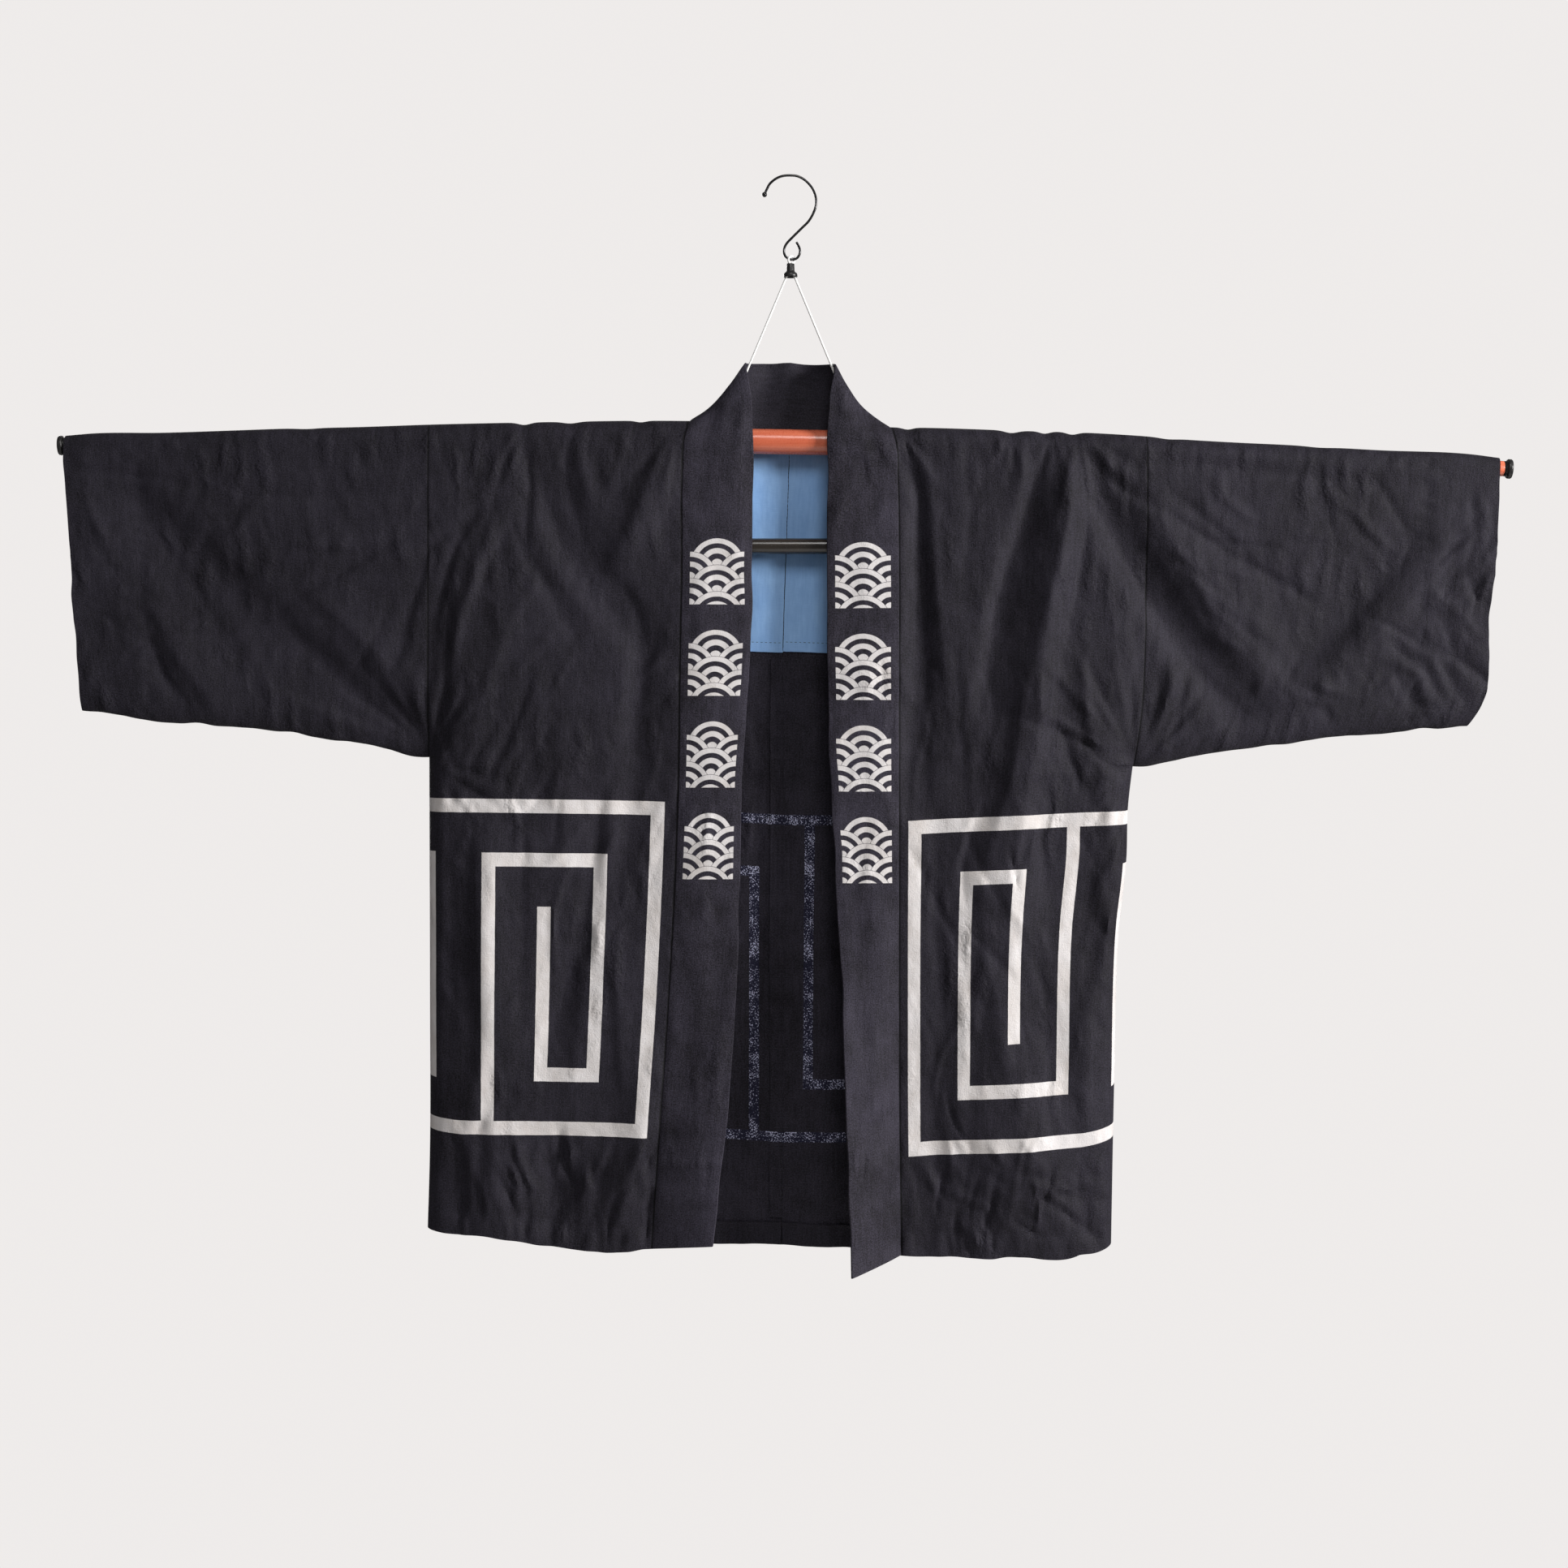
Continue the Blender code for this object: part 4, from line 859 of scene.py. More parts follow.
def body_point(side, face, c, s):
    """A point of a body half. c runs 0 to 1 over the flat and on to 2 round the side."""
    armhole_drop, edge_out = hang(np.clip(s, 0, 3), WRAP_BODY, ARMHOLE_DROP[side], ARMHOLE_DEPTH)
    length = hem_length(side, face, hem_share(c))
    drop = np.where(s > 3, mix(ARMHOLE_DROP[side], length, np.clip(s - 3, 0, 1)), armhole_drop)
    side_x = read(SIDE_LINE[side], drop)
    if face == FRONT:
        inner_x = read(COLLAR_FRONT[side], drop)
        from_seam = np.abs(c * (side_x - inner_x) * side - SEWN_OFF)
    else:
        turn = np.arcsin(np.clip(s / NECK_STATION, 0, 1))
        centre_x = CENTRE_BACK + read(CENTRE_LEAN, drop)
        inner_x = mix(centre_x, COLLAR_FRONT[side][0][1], np.cos(turn))
        from_seam = np.where(s > NECK_STATION, c * (side_x - inner_x) * side, 1.0)
    flat = mix(inner_x, side_x - side * SIDE_ROUND, np.clip(c, 0, 1))
    v = np.clip(c - 1, 0, 1)
    closed = ease(s - 2)
    round_x = mix(v, np.sin(v * math.pi / 2), closed)
    x = flat + side * SIDE_ROUND * round_x
    from_seam = np.minimum(from_seam, np.where(s < 2.6, (side_x - x) * side, 1.0))
    full = np.where(s < 1, edge_out, mix(WRAP_BODY, DEPTH[face], ease((drop - WRAP_BODY) / DEPTH_REACHED)))
    fall = mix(1 - ease(v), np.cos(v * math.pi / 2), closed)
    out = mix(edge_out, full, fall)
    above_hem = length - drop
    gathered = hump(above_hem - PUCKER_AT, PUCKER_AT) * ease(out / EDGE_CALM)
    out = out + turned_edge(above_hem, HEM_TURN, out)
    out += HEM_PUCKER * gathered * unevenness(x, drop, 0.0048, 0.030, 21 + face)
    wave = ease(1 - above_hem / HEM_WAVE_REACH) * (1 - ease(c - 1)) * np.where(s > 3, 1, 0)
    z = read(SHOULDER_LINE, x) - drop + HEM_WAVE * wave * unevenness(x, 0 * x, 0.016, 1.0, 31 + face)
    return put_folds(face, x, z, drop, out, from_seam)


def stations(spacing, ends_at):
    """Rows down one face: over the rod, down to the underarm, round under it and on to the hem."""
    to_underarm, to_hem = round(TO_UNDERARM / spacing), round(TO_HEM / spacing)
    rows = list(np.linspace(0, 1, 9)[1:])
    rows += list(1 + np.arange(1, to_underarm + 1) / to_underarm)
    rows += list(2 + np.arange(1, 11) / 10)
    if ends_at > 3:
        rows += list(3 + np.arange(1, to_hem + 1) / to_hem)
    return rows


def neck_stations():
    return [NECK_STATION * math.sin(math.radians(turn)) for turn in np.arange(7.5, 91, 7.5)]


def over_both(spacing, ends_at):
    """Rows from the lowest in front, which are negative, over the rod to the lowest behind."""
    down = stations(spacing, ends_at)
    behind = neck_stations() + [UNDER_NECK] + [s for s in down if s >= 1]
    return np.array([-s for s in reversed(down)] + [0.0] + behind)


def both_faces(point, side, column, row):
    front = point(side, FRONT, column, np.abs(row))
    back = point(side, BACK, column, np.abs(row))
    return np.where((row < 0)[..., None], front, back)


def cut_length(side, row, share):
    """Length of cloth from the top of the rod, less than 0 in front."""
    s = np.abs(row)
    drop, _ = hang(np.clip(s, 0, 3), WRAP_BODY, ARMHOLE_DROP[side], ARMHOLE_DEPTH)
    length = np.where(row < 0, hem_length(side, FRONT, share), hem_length(side, BACK, share))
    drop = np.where(s > 3, mix(ARMHOLE_DROP[side], length, np.clip(s - 3, 0, 1)), drop)
    wrapped = WRAP_BODY * math.pi / 2 * np.minimum(s, 1)
    return np.sign(row) * np.where(s < 1, wrapped, drop + WRAP_BODY * (math.pi / 2 - 1))


FLAT_WIDTH = {LEFT: (0.1925, 0.2839), RIGHT: (0.1850, 0.2760)}  # in front and behind
SIDE_ARC = 0.038


def body_cut(side, column, row):
    flat = np.where(row < 0, FLAT_WIDTH[side][0], FLAT_WIDTH[side][1])
    across = np.clip(column, 0, 1) * flat + np.clip(column - 1, 0, 1) * SIDE_ARC
    return across, cut_length(side, row, np.clip(column, 0, 1) * FLAT_SHARE)


def walled(piece, thickness, rim, inside_slot=0):
    """Gives a cloth its thickness inwards, and rounds its cut edges."""
    shell = piece.modifiers.new("wall", "SOLIDIFY")
    shell.thickness = thickness
    shell.offset = -1
    shell.material_offset = inside_slot
    edge = piece.modifiers.new("soft rim", "BEVEL")
    edge.width = rim
    edge.segments = 2
    edge.limit_method = "ANGLE"
    edge.angle_limit = math.radians(55)
    edge.harden_normals = True


# The band: white bars on a square net, turned into hooked frets
PRINT_EDGE = 0.0002  # over this much a print goes from white to black
BAR_WIDTH = 0.0122
BAND_HEIGHT = 0.2962
NET = (0.0495, (BAND_HEIGHT - BAR_WIDTH) / 6)
#   nodes of the net that each line of bars goes through: column from the inner edge, row from the top
FRET_UP = ((3, 6), (3, 1), (1, 1), (1, 5), (2, 5), (2, 2))
FRET_DOWN = ((3, 0), (3, 5), (1, 5), (1, 1), (2, 1), (2, 4))
FRONT_LINES = {
    LEFT: (((5, 0), (0, 0), (0, 6), (5, 6)), FRET_UP, ((4.06, 1), (4.06, 5), (5, 5))),
    RIGHT: (((5, 0), (0, 0), (0, 6), (5, 6)), FRET_DOWN, ((5, 1), (4.06, 1), (4.06, 5))),
}
BACK_LINES = {
    LEFT: (
        ((-1, 0), (7, 0)),
        ((-1, 6), (7, 6)),
        ((0, 6), (0, 1), (2, 1), (2, 5), (1, 5), (1, 2)),
        ((3, 0), (3, 5), (5, 5), (5, 1), (4, 1), (4, 4)),
    ),
    RIGHT: (
        ((-1, 0), (7, 0)),
        ((-1, 6), (7, 6)),
        ((0, 0), (0, 5), (2, 5), (2, 1), (1, 1), (1, 4)),
        ((3, 6), (3, 1), (5, 1), (5, 5), (4, 5), (4, 2)),
    ),
}
#   inner bar's middle from the seam; top of the band from the top of the rod there; how much less per metre
FRONT_BAND = {LEFT: (0.0191, 0.3468, 0.031), RIGHT: (0.0160, 0.3575, 0.073)}
BACK_BAND = {LEFT: (0.0247, 0.3540, 0.020), RIGHT: (0.0247, 0.3540, 0.030)}


def parts_of(vector):
    tree = vector.id_data
    made = tree.nodes.new("ShaderNodeSeparateXYZ")
    tree.links.new(vector, made.inputs[0])
    return made.outputs[0], made.outputs[1]


def least(values):
    values = iter(values)
    nearest = next(values)
    for value in values:
        nearest = sum_of("MINIMUM", nearest, value)
    return nearest


def bars_gap(point, line, start):
    """Distance from a point to the bars along one line on the net, less than 0 inside them."""
    gaps = []
    for (c0, r0), (c1, r1) in zip(line, line[1:]):
        middle = (start[0] + (c0 + c1) / 2 * NET[0], start[1] + (r0 + r1) / 2 * NET[1], 0)
        half = ((abs(c1 - c0) * NET[0] + BAR_WIDTH) / 2, (abs(r1 - r0) * NET[1] + BAR_WIDTH) / 2, 1)
        apart = node("VectorMath", point, middle, operation="SUBTRACT")
        apart = node("VectorMath", apart, operation="ABSOLUTE")
        apart = node("VectorMath", apart, half, operation="SUBTRACT")
        gaps.append(sum_of("MAXIMUM", *parts_of(apart)))
    return least(gaps)


def bars_mask(uv, lines, first, top, fall, face, inset=0.0):
    """1 inside the white bars of one face, 0 outside; inset leaves off that much along their edges."""
    across, along = parts_of(uv)
    down = sum_of("MULTIPLY", along, float(face))
    level = sum_of("MULTIPLY_ADD", across, fall, -top - fall * first)
    point = node("CombineXYZ", across, sum_of("ADD", down, level))
    nearest = least([bars_gap(point, line, (first, BAR_WIDTH / 2)) for line in lines])
    inside = ranged(nearest, -PRINT_EDGE - inset, PRINT_EDGE - inset, 1, 0)
    return sum_of("MULTIPLY", inside, sum_of("GREATER_THAN", down, 0.1))


def threads(uv):
    """Height of a plain weave with uneven threads, and its slower unevenness."""
    warp = noise(stretched(uv, (2100, 130, 1)), 1, 2)
    weft = noise(stretched(uv, (130, 2100, 1)), 1, 2)
    slub = noise(stretched(uv, (420, 36, 1)), 1, 3, 0.6)
    return sum_of("MULTIPLY_ADD", sum_of("ADD", warp, weft), 0.5, -0.25), slub


def wandering(uv, scale, reach):
    """Places on the cloth pushed about by up to half this reach, so that edges wander."""
    way = node("VectorMath", noise(uv, scale, 5, 0.75, out=1), (0.5, 0.5, 0.5), operation="SUBTRACT")
    return node("VectorMath", way, (reach, reach, 0), uv, operation="MULTIPLY_ADD")


def creased(uv):
    """Height of the small broken creases that washed cotton keeps."""
    bent = stretched(wandering(uv, 14, 0.030), (52, 21, 1))
    return noise(bent, 1, 3, 0.45, noise_type="RIDGED_MULTIFRACTAL", normalize=True)


BLACK = (0.0062, 0.0055, 0.0074)
BLACK_WORN = (0.0312, 0.0280, 0.0405)
WHITE = (0.66, 0.635, 0.637)
WHITE_STAINED = (0.55, 0.51, 0.49)
STRUCK_THROUGH = (0.52, 0.53, 0.72)
STRUCK_TINT = (0.016, 0.016, 0.036)
STRUCK_INSET = 0.0016
# Painted shadow along seams: the share of the cloth's colour left in a line's middle, and the shadow's
# colour
PAINTED_SEAM_SHADE = 0.25
PAINTED_SEAM_SHADOW = (0.001, 0.001, 0.001)


def black_cotton(name, prints=(), speckled=False, worn=1.0, paler=1.0, seams=()):
    """Black cotton with its weave, wear and bump.

    prints are the arguments of the white bars on it, and speckled shows them as they come through on the
    inside. worn is how unevenly it has faded and paler by how much. seams give where a thin shadow line is
    painted along a seam: across, and on which face, or 0 on both."""
    material, shader = finish(name, roughness=0.66, specular=0.13, sheen=0.02)
    uv, where = on_flat(shader), in_space(shader)
    weave, slub = threads(uv)
    fine = noise(where, 55, 4, 0.6)
    lint = noise(uv, 820, 1, 0.7)
    wear = sum_of("MULTIPLY_ADD", noise(where, 9, 4, 0.55), 0.55 * worn, -0.40 - 0.465 * worn)
    for part, weight in ((fine, 0.38 * worn), (slub, 0.50), (weave, 0.7), (lint, 1.3)):
        wear = sum_of("MULTIPLY_ADD", part, weight, wear)
    dyed = [tuple(paler * part for part in shade) for shade in (BLACK, BLACK_WORN)]
    colour = two_toned(wear, 0.35, 1.05, *dyed)
    across, along = parts_of(uv)
    # Each seam gets a painted shadow line: the colour goes to the dark shadow colour within about a
    # millimetre of it
    for at, behind in seams:
        off = sum_of("ABSOLUTE", sum_of("SUBTRACT", across, at))
        shade = ranged(off, 0.0005, 0.0013, PAINTED_SEAM_SHADE, 1)
        if behind:
            here = sum_of("GREATER_THAN", sum_of("MULTIPLY", along, float(behind)), 0)
            shade = sum_of("SUBTRACT", 1, sum_of("MULTIPLY", here, sum_of("SUBTRACT", 1, shade)))
        colour = blended(shade, PAINTED_SEAM_SHADOW, colour)
    ragged = wandering(uv, 75, 0.0007) if prints else uv
    for printed in prints:
        if speckled:
            mask = bars_mask(ragged, *printed, inset=STRUCK_INSET)
            colour = blended(mask, colour, STRUCK_TINT)
            spots = sum_of("MULTIPLY_ADD", noise(uv, 70, 2, 0.6), 0.6, noise(uv, 780, 1, 0.4))
            mask = sum_of("MULTIPLY", mask, ranged(spots, 0.84, 0.98, 0.0, 1.0))
            colour = blended(mask, colour, STRUCK_THROUGH)
        else:
            stained = sum_of("MULTIPLY_ADD", slub, 0.35, noise(where, 28, 4, 0.65))
            white = two_toned(stained, 0.55, 0.95, WHITE, WHITE_STAINED)
            colour = blended(bars_mask(ragged, *printed), colour, white)
    here = ranged(noise(uv, 8, 1), 0.40, 0.62, 0.35, 1.6)
    wrinkled = sum_of("MULTIPLY", creased(uv), here)
    crumple = bumped(shader, sum_of("MULTIPLY_ADD", fine, 0.3, wrinkled), 0.9, 0.0034)
    bumped(shader, sum_of("MULTIPLY_ADD", lint, 0.8, weave), 0.8, 0.00045, crumple)
    feed(shader, colour=colour)
    return material


FLAT_COLUMNS, SIDE_COLUMNS = 76, 12
CLOTH_STEP = 0.0034
CLOTH_RIM = 0.00035
columns = [0.0, 0.0025, 0.005, 0.0075, 0.0105] + [i / FLAT_COLUMNS for i in range(1, FLAT_COLUMNS + 1)]
columns += [1 + (i + 1) / SIDE_COLUMNS for i in range(SIDE_COLUMNS - 1)] + [1.94, 1.96, 1.98, 2.0]
body_rows = over_both(CLOTH_STEP, 4)
bodies, inner_black = {}, {}
for side, name in SIDES:
    body = lay(
        "body_" + name + "_cloth",
        columns,
        body_rows,
        lambda c, s, side=side: both_faces(body_point, side, c, s),
        lambda c, s, side=side: body_cut(side, c, s),
        flip=side == LEFT,
    )
    walled(body, WALL, CLOTH_RIM, inside_slot=1)
    prints = ((FRONT_LINES[side], *FRONT_BAND[side], FRONT), (BACK_LINES[side], *BACK_BAND[side], BACK))
    # Painted shadow lines along the side seams, the collar's seam in front and the middle seam of the back
    at_side = [(flat + SIDE_ARC, face) for flat, face in zip(FLAT_WIDTH[side], (FRONT, BACK))]
    seams = at_side + [(SEWN_OFF, FRONT), (0.0, BACK)]
    outside = black_cotton("black cotton, " + name + " half", prints, seams=seams)
    inner_black[side] = black_cotton(
        "black cotton, inside of " + name + " half", prints[1:], speckled=True, worn=1.4, paler=1.32
    )
    dress(body, "black_cotton", outside, inner_black[side], stands_for="body_" + name)
    bodies[side] = body

# Turnings on the inside: the back seam's, pressed over to the left, and the hem's, folded up twice
TURNING_WALL = 0.0007
TURNING_RIM = 0.0002
BACK_TURNING = 0.0105
BACK_TURNING_ROWS = (1.74, 3.952)  # from under the lining down to the hem's turning
HEM_MIDDLE = 0.7265
HEM_CUT = 0.28  # a hem's turning laid flat, as far as its side seam
TURNING_SLACK = 0.0004


def inside_point(side, face, c, s, deeper):
    """A point on the inside of a body half, with a little slack."""
    outer = body_point(side, face, c, s)
    step = 0.002  # in c and s, to see which way the cloth faces
    next_c = body_point(side, face, c + step, s)
    next_s = body_point(side, face, c, s + step)
    way = np.cross(next_c - outer, next_s - outer)
    way /= np.linalg.norm(way, axis=1)[:, None]
    way *= np.sign(way[:, 1] * face)[:, None]
    return outer - way * (WALL + deeper)[:, None]


def back_turning_point(c, s):
    slack = 0.0012 + 0.0003 * unevenness(c * 0, s * TO_HEM, 1.0, 0.03, 91)
    across = np.maximum(c, 0.001) * BACK_TURNING / FLAT_WIDTH[LEFT][1]
    place = inside_point(LEFT, BACK, across, s, slack)
    place[:, 0] += np.where(c < 0, 0.0009, 0)
    return place


back_turning = lay(
    "back_seam_turning",
    [-0.08, 0.0, 0.25, 0.5, 0.75, 1.0],
    [s for s in body_rows if BACK_TURNING_ROWS[0] < s < BACK_TURNING_ROWS[1]],
    back_turning_point,
    lambda c, s: (c * BACK_TURNING, cut_length(LEFT, s, 0 * c)),
    flip=True,
)
walled(back_turning, TURNING_WALL, TURNING_RIM)
dress(back_turning, "black_cotton", inner_black[LEFT])
turned_black = black_cotton("black cotton, turnings", worn=1.2)
turnings = {LEFT: [back_turning], RIGHT: []}
for side, name in SIDES:
    for face, word in FACES:
        low = 1 - HEM_TURN / (HEM_MIDDLE - ARMHOLE_DROP[side])
        turning = lay(
            "hem_turning_" + word + "_" + name,
            [c for c in columns if c <= 1.75],
            3 + np.linspace(low, 0.9985, 7),
            lambda c, s, side=side, face=face: inside_point(side, face, c, s, 0 * c + TURNING_SLACK),
            lambda c, s: (c * HEM_CUT, s * TO_HEM),
            flip=side * face == LEFT * BACK,
        )
        walled(turning, TURNING_WALL, TURNING_RIM)
        dress(turning, "black_cotton", turned_black)
        turnings[side].append(turning)

# ------------------------------------------------------------------------------------ sleeves
# Each sleeve is one piece of the same black cotton, folded along the top and sewn shut along the bottom,
# then set into the armhole. The cuff is turned in 64 mm and hemmed.
SLEEVE_UNDERSIDE = {
    LEFT: (
        (-0.6297, -0.475), (-0.5576, -0.4845), (-0.4928, -0.4892), (-0.4064, -0.5003), (-0.3205, -0.5163),
    ),
    RIGHT: (
        (0.304, -0.5256), (0.3496, -0.5168), (0.4144, -0.5076), (0.5224, -0.495), (0.595, -0.4887),
    ),
}
#   share of the drop, x
CUFF = {
    LEFT: ((0, -0.644), (0.08, -0.6447), (0.3, -0.6412), (0.63, -0.6362), (1, -0.6297)),
    RIGHT: (
        (0, 0.6297), (0.2, 0.6278), (0.42, 0.6246), (0.53, 0.6212), (0.77, 0.6184), (0.89, 0.6168),
        (0.95, 0.6105), (1, 0.6015),
    ),
}
CUFF_TURN = 0.064
CUFF_WAVE = 0.0010
CUFF_WAVE_REACH = 0.04
UNDERSIDE_WAVE = 0.0012
SLEEVE_LENGTH = 0.322


def sleeve_point(side, face, a, s):
    """A point of a sleeve. a runs 0 at the armhole to 1 at the cuff."""
    drop, _ = hang(s, WRAP_BODY, ARMHOLE_DROP[side], ARMHOLE_DEPTH)
    arm_x = read(SIDE_LINE[side], drop)
    x = mix(arm_x, read(CUFF[side], drop / ARMHOLE_DROP[side]), a)
    top = read(SHOULDER_LINE, x)
    bottom = top - read(SLEEVE_UNDERSIDE[side], x)
    bottom = mix(ARMHOLE_DROP[side], bottom, ease(a / 0.12))
    drop, out = hang(s, mix(WRAP_BODY, WRAP_CUFF, a), bottom, mix(ARMHOLE_DEPTH, CUFF_DEPTH, a))
    from_cuff = (1 - a) * SLEEVE_LENGTH
    pucker = hump(from_cuff - CUFF_TURN, 0.005) * ease(out / EDGE_CALM)
    pucker = HEM_PUCKER * pucker * unevenness(0 * x, drop, 1.0, 0.005, 41 + face)
    out = out + turned_edge(from_cuff, CUFF_TURN, out) + pucker
    below = np.where(s > 1.05, 1, 0) * ease((s - 1) / 0.2) * (1 - ease((s - 2.5) / 0.5))
    edge = ease(1 - from_cuff / CUFF_WAVE_REACH) * below
    x = x + CUFF_WAVE * edge * unevenness(0 * x, drop, 1.0, 0.018, 51 + face)
    under = ease((s - 2) / 1.0) * ease(a / 0.1) * ease((1 - a) / 0.05)
    z = top - drop + UNDERSIDE_WAVE * under * unevenness(x, 0 * x, 0.017, 1.0, 61)
    return put_folds(face, x, z, drop, out, np.abs(x - arm_x))


SLEEVE_COLUMNS = 92
columns = [0.0, 0.0018, 0.0036, 0.0060] + [i / SLEEVE_COLUMNS for i in range(1, SLEEVE_COLUMNS + 1)]
for side, name in SIDES:
    sleeve = lay(
        "sleeve_" + name + "_cloth",
        columns,
        over_both(CLOTH_STEP, 3),
        lambda a, s, side=side: both_faces(sleeve_point, side, a, s),
        lambda a, s, side=side: (a * SLEEVE_LENGTH, cut_length(side, s, 0 * a)),
        flip=side == LEFT,
    )
    walled(sleeve, WALL, CLOTH_RIM)
    # A painted shadow line runs along the armhole seam
    outside = black_cotton("black cotton, " + name + " sleeve", seams=[(0.0, 0)])
    dress(sleeve, "black_cotton", outside, stands_for="sleeve_" + name)

# ------------------------------------------------------------------------------------ collar
# One long band of black cotton, doubled over and sewn to the front edges and round the neck. It stands up
# behind the neck and carries a column of undyed blocks of the wave pattern on each front.
BAND_WALL = 0.0024
PROUD = 0.0007  # the band stands out this far from the fronts
OVERLAP = 0.0012  # its sewn edge runs this far past the neckline
COLLAR_PUFF = 0.0015  # its roundness across its width
COLLAR_SAG = {LEFT: 0.0062, RIGHT: 0.0092}  # hollow of the band where it climbs from each shoulder
SAG_REACH = 0.030
BAND_UNEVEN = 0.0005
BAND_WAVE = 0.0009  # how far its free edge wavers
FREE_EDGE_DIP = 0.0008
SEWN_EDGE_DIP = 0.0004
COLLAR_COLUMNS = 18
COLLAR_WIDTH = 0.061
#   turn in degrees, x, y, z of the free edge behind the neck
COLLAR_NECK = (
    (0, 0.04, -0.002, -0.1666), (22.5, 0.039, 0.009, -0.1648), (45, 0.033, 0.019, -0.1638),
    (67.5, 0.018, 0.0255, -0.1631), (90, 0, 0.0268, -0.1628),
)
# Folds along and across the band: distance down the front from the shoulder (less than 0 behind the neck),
# place across it (0 at the seam), height, half lengths along and across
COLLAR_FOLDS = {
    LEFT: (
        (-0.068, 0.6, -0.002, 0.006, 0.6), (-0.085, 0.55, 0.0014, 0.007, 0.6),
        (-0.048, 0.5, 0.0012, 0.008, 0.5), (0.03, 0.35, -0.0014, 0.04, 0.22),
        (0.07, 0.7, 0.0012, 0.05, 0.25), (0.18, 0.3, 0.0012, 0.06, 0.2), (0.27, 0.65, -0.0012, 0.05, 0.22),
        (0.43, 0.4, 0.0014, 0.07, 0.22), (0.52, 0.75, -0.0014, 0.05, 0.2), (0.6, 0.3, -0.0014, 0.06, 0.2),
        (0.665, 0.6, 0.0016, 0.045, 0.25),
    ),
    RIGHT: (
        (-0.076, 0.55, -0.0012, 0.006, 0.6), (-0.055, 0.6, 0.0012, 0.009, 0.6),
        (0.025, 0.65, 0.0012, 0.035, 0.25), (0.09, 0.35, -0.0012, 0.05, 0.22),
        (0.2, 0.7, -0.001, 0.06, 0.22), (0.33, 0.35, 0.0014, 0.06, 0.22), (0.42, 0.7, -0.0016, 0.045, 0.22),
        (0.5, 0.35, 0.0018, 0.05, 0.22), (0.56, 0.75, -0.002, 0.03, 0.2), (0.61, 0.45, 0.0022, 0.03, 0.22),
        (0.655, 0.7, -0.002, 0.022, 0.3), (0.685, 0.3, 0.002, 0.02, 0.3),
    ),
}


def collar_ribs():
    """Pairs of points on the neckline and the free edge, from the left hem round to the right hem."""
    ribs = {}
    down = -body_rows[body_rows < 0]
    turns = np.arange(0, 91, 7.5)
    for side in (LEFT, RIGHT):
        sewn = body_point(side, FRONT, 0 * down, down)
        drop = read(SHOULDER_LINE, sewn[:, 0]) - sewn[:, 2]
        free_x, lift, forward = (read(COLLAR_FRONT[side], drop, column) for column in (2, 3, 4))
        free = np.stack([free_x, sewn[:, 1] - forward, sewn[:, 2] + lift], axis=-1)
        sewn_neck = body_point(side, BACK, 0 * turns, NECK_STATION * np.sin(np.radians(turns)))
        free_x, free_y, free_z = (read(COLLAR_NECK, turns, column) for column in (1, 2, 3))
        middle_x = (CENTRE_BACK + CENTRE_LEAN[0][1]) * ease(turns / 90)
        free_neck = np.stack([middle_x + side * free_x, free_y, free_z], axis=-1)
        ribs[side] = np.stack([np.concatenate([sewn, sewn_neck]), np.concatenate([free, free_neck])], axis=1)
    centre_rib = (ribs[LEFT][-1:] + ribs[RIGHT][-1:]) / 2
    return np.concatenate([ribs[LEFT][:-1], centre_rib, ribs[RIGHT][-2::-1]]), len(down)


ribs, shoulder_rib = collar_ribs()
sewn, free = ribs[:, 0], ribs[:, 1]
middle = (sewn + free) / 2
travel = np.gradient(middle, axis=0)
width = free - sewn
width /= np.linalg.norm(width, axis=1)[:, None]
outward = np.cross(width, travel)
outward /= np.linalg.norm(outward, axis=1)[:, None]
gone = distance_along(middle)
shoulder_at = {LEFT: gone[shoulder_rib], RIGHT: gone[len(ribs) - 1 - shoulder_rib]}
from_shoulder = {LEFT: shoulder_at[LEFT] - gone, RIGHT: gone - shoulder_at[RIGHT]}
sag = np.zeros(middle.shape)
for side, shoulder in ((LEFT, shoulder_rib), (RIGHT, len(ribs) - 1 - shoulder_rib)):
    inwards = np.array([width[shoulder][2], 0, -width[shoulder][0]]) * -side
    sag += COLLAR_SAG[side] * hump(from_shoulder[side], SAG_REACH)[:, None] * inwards


def collar_point(t, rib):
    rib = rib.astype(int)
    puff = PROUD + COLLAR_PUFF * 4 * t * (1 - t)
    for side in (LEFT, RIGHT):
        down = from_shoulder[side][rib]
        for at, place, height, long, wide in COLLAR_FOLDS[side]:
            puff = puff + height * hump(down - at, long) * hump(t - place, wide) * ease(t / 0.15)
    puff += BAND_UNEVEN * unevenness(gone[rib], t * COLLAR_WIDTH, 0.045, 0.014, 71) * ease(t / 0.1)
    puff -= FREE_EDGE_DIP * hump((1 - t) * COLLAR_WIDTH, 0.0035) + SEWN_EDGE_DIP * (1 - ease(t / 0.05))
    start = sewn[rib] - width[rib] * OVERLAP
    wave = BAND_WAVE * unevenness(gone[rib], 0 * t, 0.030, 1.0, 72)[:, None] * width[rib] * (t**2)[:, None]
    hollow = sag[rib] * (4 * t * (1 - t))[:, None]
    return mix(start, free[rib], t[:, None]) + wave + hollow + outward[rib] * puff[:, None]


def collar_cut(t, rib):
    return t * COLLAR_WIDTH, gone[rib.astype(int)]


collar = lay(
    "collar_cloth",
    np.arange(COLLAR_COLUMNS + 1) / COLLAR_COLUMNS,
    np.arange(len(ribs)),
    collar_point,
    collar_cut,
)
walled(collar, BAND_WALL, 0.0010, inside_slot=1)
collar.modifiers["soft rim"].segments = 3

